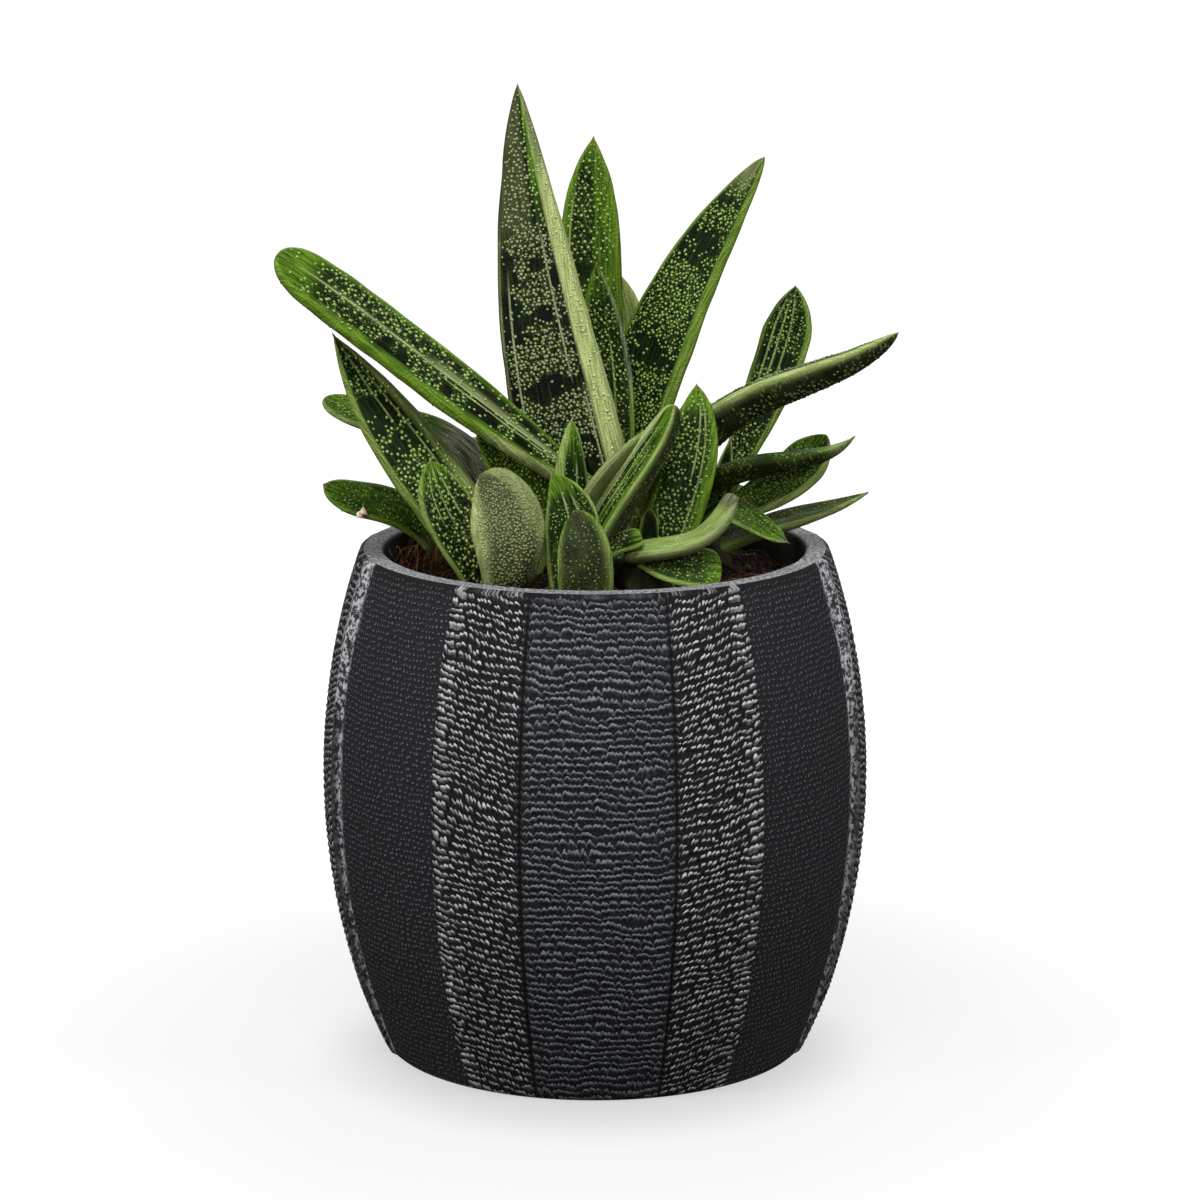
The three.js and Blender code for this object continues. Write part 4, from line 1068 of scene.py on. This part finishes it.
def side_pattern(angle, height):
    """The small relief: each place's cell, how high its row stands, its scale in mm, the ridge lips' wear and
    painted glint, and scuffs.
    """
    quarter = folded(angle)
    share = angle / 360
    recessed = (quarter >= 35.4) & (quarter <= 70.6)
    narrow = (quarter > PANEL_EDGE) & ~recessed
    from_seam = np.where(quarter < 45, quarter - PANEL_EDGE, 90 - quarter) * 1.28
    rise = np.where(narrow, (0.26 + 0.14 * noise(share * 4, height / 30, 14, 4)) * from_seam, 0)
    wave = 0.9 * noise(share * 40, height / 10, 11, 40) + 0.55 * noise(share * 120, height / 4, 12, 120)
    rows = np.where(recessed, (height + 0.4 * wave) / DOT_PITCH, (height - rise + wave) / ROW_PITCH)
    cells = np.where(recessed | narrow, OTHER_SCALES, WIDE_SCALES)
    mirrored = np.where(narrow & (np.mod(angle, 180) > 90), -share, share)
    place = mirrored * cells + 0.5 * noise(share * 90, height / 6, 13, 90)
    kind = np.where(recessed, 1, np.where(narrow, 0.5, 0))
    high = 0.5 - 0.5 * np.cos(2 * np.pi * rows)
    half = 0.4 + 0.4 * smooth(30, 70, height) + 2.2 * smooth(100, 134, height) ** 1.3
    scuff = 1 - smooth(half - 0.3, half + 0.3, np.abs(quarter - 70 - 1.6 * smooth(90, 125, height)))
    # The lips on the ridges, which the pot's colour makes pale with wear and a painted glint.
    lip = np.exp(-(((quarter - 33.4) / 1.7) ** 2)) + 0.4 * np.exp(-(((quarter - 72.2) / 1.4) ** 2))
    lip = np.where(recessed, 0, np.minimum(1, lip)) * (1 - scuff)
    scale = np.where(narrow, NARROW_RISE + LIP_RISE * lip, WIDE_RISE)
    scale = np.where(recessed, DOT_RISE, scale) * (1 - scuff)
    return np.stack([place, rows, kind], -1), high, scale, lip, scuff


def side_columns(start, end):
    """Angles across one piece of the side, with a column at every corner of the relief."""
    corner_angles = {start, end}
    for quarter in range(-1, 5):
        for degrees, _ in RELIEF:
            within = 90 - degrees if quarter % 2 else degrees
            angle = quarter * 90 + within
            if start < angle < end:
                corner_angles.add(angle)
    marks = sorted(corner_angles)
    columns = [
        np.linspace(low, high, max(1, round((high - low) / STEP_ROUND)), endpoint=False)
        for low, high in zip(marks, marks[1:])
    ]
    return np.concatenate([*columns, [end]])


def edge_ring(ring, height):
    """A row of the side's points brought in to the bevelled edge at its foot or its top."""
    moved = ring * (1, 1, 0) + (0, 0, height)
    share = (side_radius(height) - EDGE_BEVEL) / np.linalg.norm(moved[..., :2], axis=-1)
    moved[..., :2] *= share[..., None]
    return moved


def add_side(build, start, end):
    """One piece of the pot's side, from one groove to the next."""
    angles = side_columns(start, end)
    heights = np.linspace(EDGE_BEVEL, POT_HEIGHT - EDGE_BEVEL, round(POT_HEIGHT / STEP_UP))
    height, angle = np.meshgrid(heights, angles, indexing="ij")
    quarter = folded(angle)
    relief = np.interp(quarter, *zip(*RELIEF))
    fade = np.interp(height, *zip(*FADE))
    cell, high, scale, lip_wear_and_glint, scuff = side_pattern(angle, height)
    seam = np.minimum(np.abs(quarter - PANEL_EDGE), 90 - quarter)
    ease = smooth(0.15, 1.1, seam) * smooth(0, 1.6, height - EDGE_BEVEL)
    ease = ease * smooth(0, 1.4, POT_HEIGHT - EDGE_BEVEL - height)
    radius = side_radius(height) + relief * fade + (high - 0.6) * scale * ease
    points = turned(radius, np.radians(angle), height)
    points = np.concatenate([edge_ring(points[:1], 0), points, edge_ring(points[-1:], POT_HEIGHT)])
    shown = smooth(0.45, 0.85, seam) * (0.4 + 0.6 * smooth(1.2, 3, POT_HEIGHT - height))
    relief = np.stack([shown, lip_wear_and_glint, scuff], -1)
    values = {
        name: np.concatenate([value[:1], value, value[-1:]]).reshape(-1, 3)
        for name, value in (("cell", cell), ("relief", relief))
    }
    build.add(points, [sheet_faces(*points.shape[:2])], **values)


def add_rim(build):
    """The flat rim, the smooth inner wall, the floor and the underside, as one turned surface."""
    outer_top, outer_foot = side_radius(POT_HEIGHT) - EDGE_BEVEL, side_radius(0) - EDGE_BEVEL
    profile = [(0, FLOOR_HEIGHT)] + CAVITY[:-1]
    profile += [(57.65, 136), (57.7, 138.6), (57.85, 139.5), (RIM_INNER + 0.3, 139.95)]
    profile += [(radius, POT_HEIGHT) for radius in np.linspace(RIM_INNER + 0.9, outer_top, 5)]
    flat = [0.0] * (len(profile) - 6) + [1.0] * 6
    foot = [(outer_foot, 0), (outer_foot - 6, 0), (0, 0)]
    for part, shares in ((profile, flat), (foot, [0.0] * len(foot))):
        rings = [turned(radius, full_turn(RIM_SIDES), height) for radius, height in part]
        values = np.repeat([[share, 0, 0] for share in shares], RIM_SIDES, 0)
        faces = sheet_faces(len(part), RIM_SIDES, closed=True)
        build.add(np.concatenate(rings), [faces[:, ::-1]], ware=values)


# ---------------------------------------------------------------------------- the soil

# Radius and height, from the wall to the middle, and below the surface from the floor to the wall's top.
MOUND = [
    (57.6, 127.6), (54, 129.6), (50, 131.6), (43, 133.5), (34, 134.8), (24, 135.8), (12, 136.5), (0, 136.8)]
MOUND_WALL = [(49.7, 8.3), (56.7, 16.3), (63.7, 45.3), (65.7, 77.3), (62.7, 110.3), (58.7, 126)]
MOUND_RINGS, MOUND_SIDES = 58, 228
MOUND_REACH = 57.5  # the radius of its surface
FIBRE_REACH = 56.4  # the radius that no fibre passes
FIBRE_STEPS, FIBRE_SIDES = 6, 4
UPRIGHT = np.array([0.0, 0.0, 1.0])
FIBRES, CRUMBS = 1500, 1500
# Where loose fibres stand up: degrees round from the front, how many, and how high at most.
TANGLES = ((-66, 110, 5), (-95, 120, 12), (-40, 60, 5), (58, 30, 3), (95, 30, 4))


def soil_height(x, y):
    """The mound's height, with its lumps and crumbs."""
    radius = np.hypot(x, y)
    profile = sorted(MOUND)
    height = np.interp(radius, *zip(*profile))
    clods = 0.9 * noise(x / 6.5, y / 6.5, 41) + 0.7 * noise(x / 2.9, y / 2.9, 42)
    return height + clods + 0.45 * noise(x / 1.3, y / 1.3, 43)


def add_mound(build):
    turn = full_turn(MOUND_SIDES)
    radii = MOUND_REACH * np.sqrt(np.linspace(1, 0.0004, MOUND_RINGS))
    radius, angle = np.meshgrid(radii, turn, indexing="ij")
    x, y = radius * np.sin(angle), -radius * np.cos(angle)
    top = np.stack([x, y, soil_height(x, y)], -1)
    wall = [turned(radius, turn, height) for radius, height in MOUND_WALL]
    points = np.concatenate([np.stack(wall), top])
    rows = len(points)
    ring = np.arange(MOUND_SIDES)
    ends = [ring[::-1][None], ((rows - 1) * MOUND_SIDES + ring)[None]]
    build.add(points.reshape(-1, 3), [sheet_faces(rows, MOUND_SIDES, closed=True), *ends], tone=(0, 0, 0))


def add_fibre(build, start, heading, length, thickness, bend, lift, tone):
    """A thin curved strand, round and tapered at both ends."""
    share = np.linspace(0, 1, FIBRE_STEPS)
    angle = heading + bend * (share - 0.5)
    walk = np.stack([np.cos(angle), np.sin(angle)], 1) * length / (FIBRE_STEPS - 1)
    flat = np.array(start) + np.cumsum(walk, 0) - walk[0]
    reach = np.linalg.norm(flat, axis=1, keepdims=True)
    flat = flat * np.minimum(1, FIBRE_REACH / reach)
    rise = soil_height(flat[:, 0], flat[:, 1]) + lift * 4 * share * (1 - share) - 0.15
    path = np.column_stack([flat, rise])
    ahead = unit(np.gradient(path, axis=0))
    beside = unit(np.cross(ahead, UPRIGHT))
    above = np.cross(beside, ahead)
    width = thickness * (0.25 + 0.75 * np.sin(np.pi * np.clip(share, 0.06, 0.94)))[:, None, None]
    turn = full_turn(FIBRE_SIDES)
    around = beside[:, None] * np.cos(turn)[None, :, None] + above[:, None] * np.sin(turn)[None, :, None]
    points = path[:, None] + around * width
    ring = np.arange(FIBRE_SIDES)
    ends = [ring[None], ((FIBRE_STEPS - 1) * FIBRE_SIDES + ring)[None, ::-1]]
    sheet = sheet_faces(FIBRE_STEPS, FIBRE_SIDES, closed=True)[:, ::-1]
    build.add(points.reshape(-1, 3), [sheet, *ends], tone=(tone, 1, 0))


def add_crumb(build, centre, size, seed, tone):
    """A small angular lump."""
    corner = np.array([[1, 0, 0], [-1, 0, 0], [0, 1, 0], [0, -1, 0], [0, 0, 1], [0, 0, -1]], float)
    corner = corner * (0.6 + 0.7 * hashed(np.arange(6), 1, seed))[:, None] * size
    twist = hashed(seed, 2, 3) * np.pi
    cosine, sine = math.cos(twist), math.sin(twist)
    spin = np.array([[cosine, -sine, 0], [sine, cosine, 0], [0, 0, 1]])
    faces = [(0, 2, 4), (2, 1, 4), (1, 3, 4), (3, 0, 4), (2, 0, 5), (1, 2, 5), (3, 1, 5), (0, 3, 5)]
    build.add(corner @ spin.T + centre, [np.array(faces)], tone=(tone, 0.5, 0))


def add_litter(build):
    """Fibres and crumbs all over the mound, and tangles of loose fibres by the wall."""
    rng = np.random.default_rng(7)
    for _ in range(FIBRES):
        radius, angle = 56 * math.sqrt(rng.random()), rng.random() * 2 * math.pi
        start = (radius * math.sin(angle), -radius * math.cos(angle))
        # Fibres are paler by the wall at the left and darker towards the middle and the right, partly a
        # painted shade where the soil lies in shadow.
        paler = float(smooth(25, 52, radius) * smooth(20, -30, start[0]))
        add_fibre(
            build, start, rng.random() * 2 * math.pi, rng.uniform(3, 12), rng.uniform(0.07, 0.2),
            rng.uniform(-2.4, 2.4), rng.uniform(0.2, 1.7), rng.random() ** 2 * (0.35 + 0.65 * paler))
    # The tangles on the right are darker, partly a painted shade.
    for direction, count, high in TANGLES:
        for _ in range(count):
            radius, angle = rng.uniform(42, 55), math.radians(direction + rng.normal(0, 13))
            start = (radius * math.sin(angle), -radius * math.cos(angle))
            add_fibre(
                build, start, rng.random() * 2 * math.pi, rng.uniform(5, 14), rng.uniform(0.08, 0.18),
                rng.uniform(-3, 3), rng.uniform(1.5, high), rng.random() ** 2 * (1 if direction < 0 else 0.5))
    for number in range(CRUMBS):
        radius, angle = 55.5 * math.sqrt(rng.random()), rng.random() * 2 * math.pi
        x, y = radius * math.sin(angle), -radius * math.cos(angle)
        centre = np.array([x, y, soil_height(np.array(x), np.array(y)) + 0.2])
        add_crumb(build, centre, rng.uniform(0.4, 1.1), number, rng.random() ** 3)


# ---------------------------------------------------------------------------- putting it together

LEAF_SKIN = leaf_material()
POT_SIDE = pot_material()
POT_RIM = rim_material()
COIR = soil_material()

for seed, (name, leaf) in enumerate(all_leaves().items(), 1):
    growing = Build()
    add_leaf(growing, leaf, varied(name, seed), seed)
    growing.piece(f"{name}_skin", LEAF_SKIN, "leaf", name)

for index, (name, (x, y, radius, top)) in enumerate(STEMS.items()):
    crown = Build()
    add_stem(crown, x, y, radius, top, 101 + 5 * index)
    crown.piece(f"crown_{name}", LEAF_SKIN, "stem", f"stem_{name}")

flake = Build()
add_dry_scale(flake)
flake.piece("dry_scale", flake_material(), "leaf")

for number, (start, end) in enumerate(zip(SEAMS, SEAMS[1:]), 1):
    side = Build()
    add_side(side, start, end)
    side.piece(f"pot_side_{number}", POT_SIDE, "pot", "pot")
rim = Build()
add_rim(rim)
rim.piece("pot_rim", POT_RIM, "pot", "pot")

ground = Build()
add_mound(ground)
add_litter(ground)
ground.piece("coir_mound", COIR, "soil", "soil")

# ---------------------------------------------------------------------------- floor, lights and camera

# These are in metres and degrees.
FLOOR_REACH = 12
SHADOW_CENTRE = (0.0, -0.015, 0)  # where the floor is darkest
CAMERA_PLACE = (-0.0149, -1.1387, 0.3708)
CAMERA_DOWN, CAMERA_TURN = 12.19, -0.822  # how far it looks down, and its turn about the upright
CAMERA_LENS, CAMERA_SENSOR = 126.96, 36  # mm


def add_floor():
    """A pale glowing floor, dimmer near the pot in a painted contact shadow and brighter away from it, so
    that it meets a white background.
    """
    shade = Shade("floor", Specular_IOR_Level=0.1)
    places = {0: shade.position(), 1: SHADOW_CENTRE}
    offset = shade.node("VectorMath", places, operation="SUBTRACT").outputs[0]
    distance = shade.node("VectorMath", {0: offset}, operation="LENGTH").outputs["Value"]
    shade.surface.inputs["Emission Color"].default_value = (1, 1, 1, 1)
    # The glow is dimmest around the pot: a painted contact shadow.
    near = shade.step(distance, 0.045, 0.085, 0.58, 0.8)
    far = shade.step(distance, 0.06, 0.36, 0.0, 0.26)
    shade.put(shade.surface.inputs["Emission Strength"], shade.plus(near, far))
    shade.finish((0.08, 0.08, 0.08, 1), 0.9)
    mesh = bpy.data.meshes.new("floor")
    signs = [(-1, -1), (1, -1), (1, 1), (-1, 1)]
    mesh.from_pydata([(x * FLOOR_REACH, y * FLOOR_REACH, 0) for x, y in signs], [], [(0, 1, 2, 3)])
    mesh.materials.append(shade.material)
    floor = placed("floor", mesh)
    floor.visible_diffuse = floor.visible_glossy = False


def add_light(name, place, target, size, power):
    light = bpy.data.lights.new(name, "AREA")
    light.shape = "RECTANGLE"
    light.size, light.size_y = size
    light.energy = power
    lamp = placed(name, light)
    lamp.location = place
    lamp.rotation_euler = (Vector(target) - Vector(place)).to_track_quat("-Z", "Y").to_euler()


def add_camera():
    data = bpy.data.cameras.new("camera")
    data.lens, data.sensor_width = CAMERA_LENS, CAMERA_SENSOR
    camera = placed("camera", data)
    camera.location = CAMERA_PLACE
    camera.rotation_euler = (math.radians(90 - CAMERA_DOWN), 0, math.radians(CAMERA_TURN))
    bpy.context.scene.camera = camera


add_floor()
add_light("top_softbox", (-0.12, -0.62, 1.4), (0, 0, 0.14), (0.8, 0.5), 21)
add_light("front_fill", (-0.2, -1.5, 0.85), (0, 0, 0.16), (0.5, 0.5), 7)
add_light("back_fill", (0.25, 1.3, 1.0), (0, 0, 0.14), (0.8, 0.5), 9)
add_light("left_strip", (-1.1, -0.6, 0.7), (0, 0, 0.1), (0.22, 0.8), 10)
add_light("right_strip", (1.1, -0.5, 0.7), (0, 0, 0.1), (0.22, 0.8), 10)
add_camera()

world = bpy.data.worlds.new("studio")
world.use_nodes = True
backdrop = world.node_tree.nodes["Background"]
backdrop.inputs["Color"].default_value = (1, 1, 1, 1)
backdrop.inputs["Strength"].default_value = 0.08
bpy.context.scene.world = world
bpy.context.scene.view_settings.view_transform = "Standard"
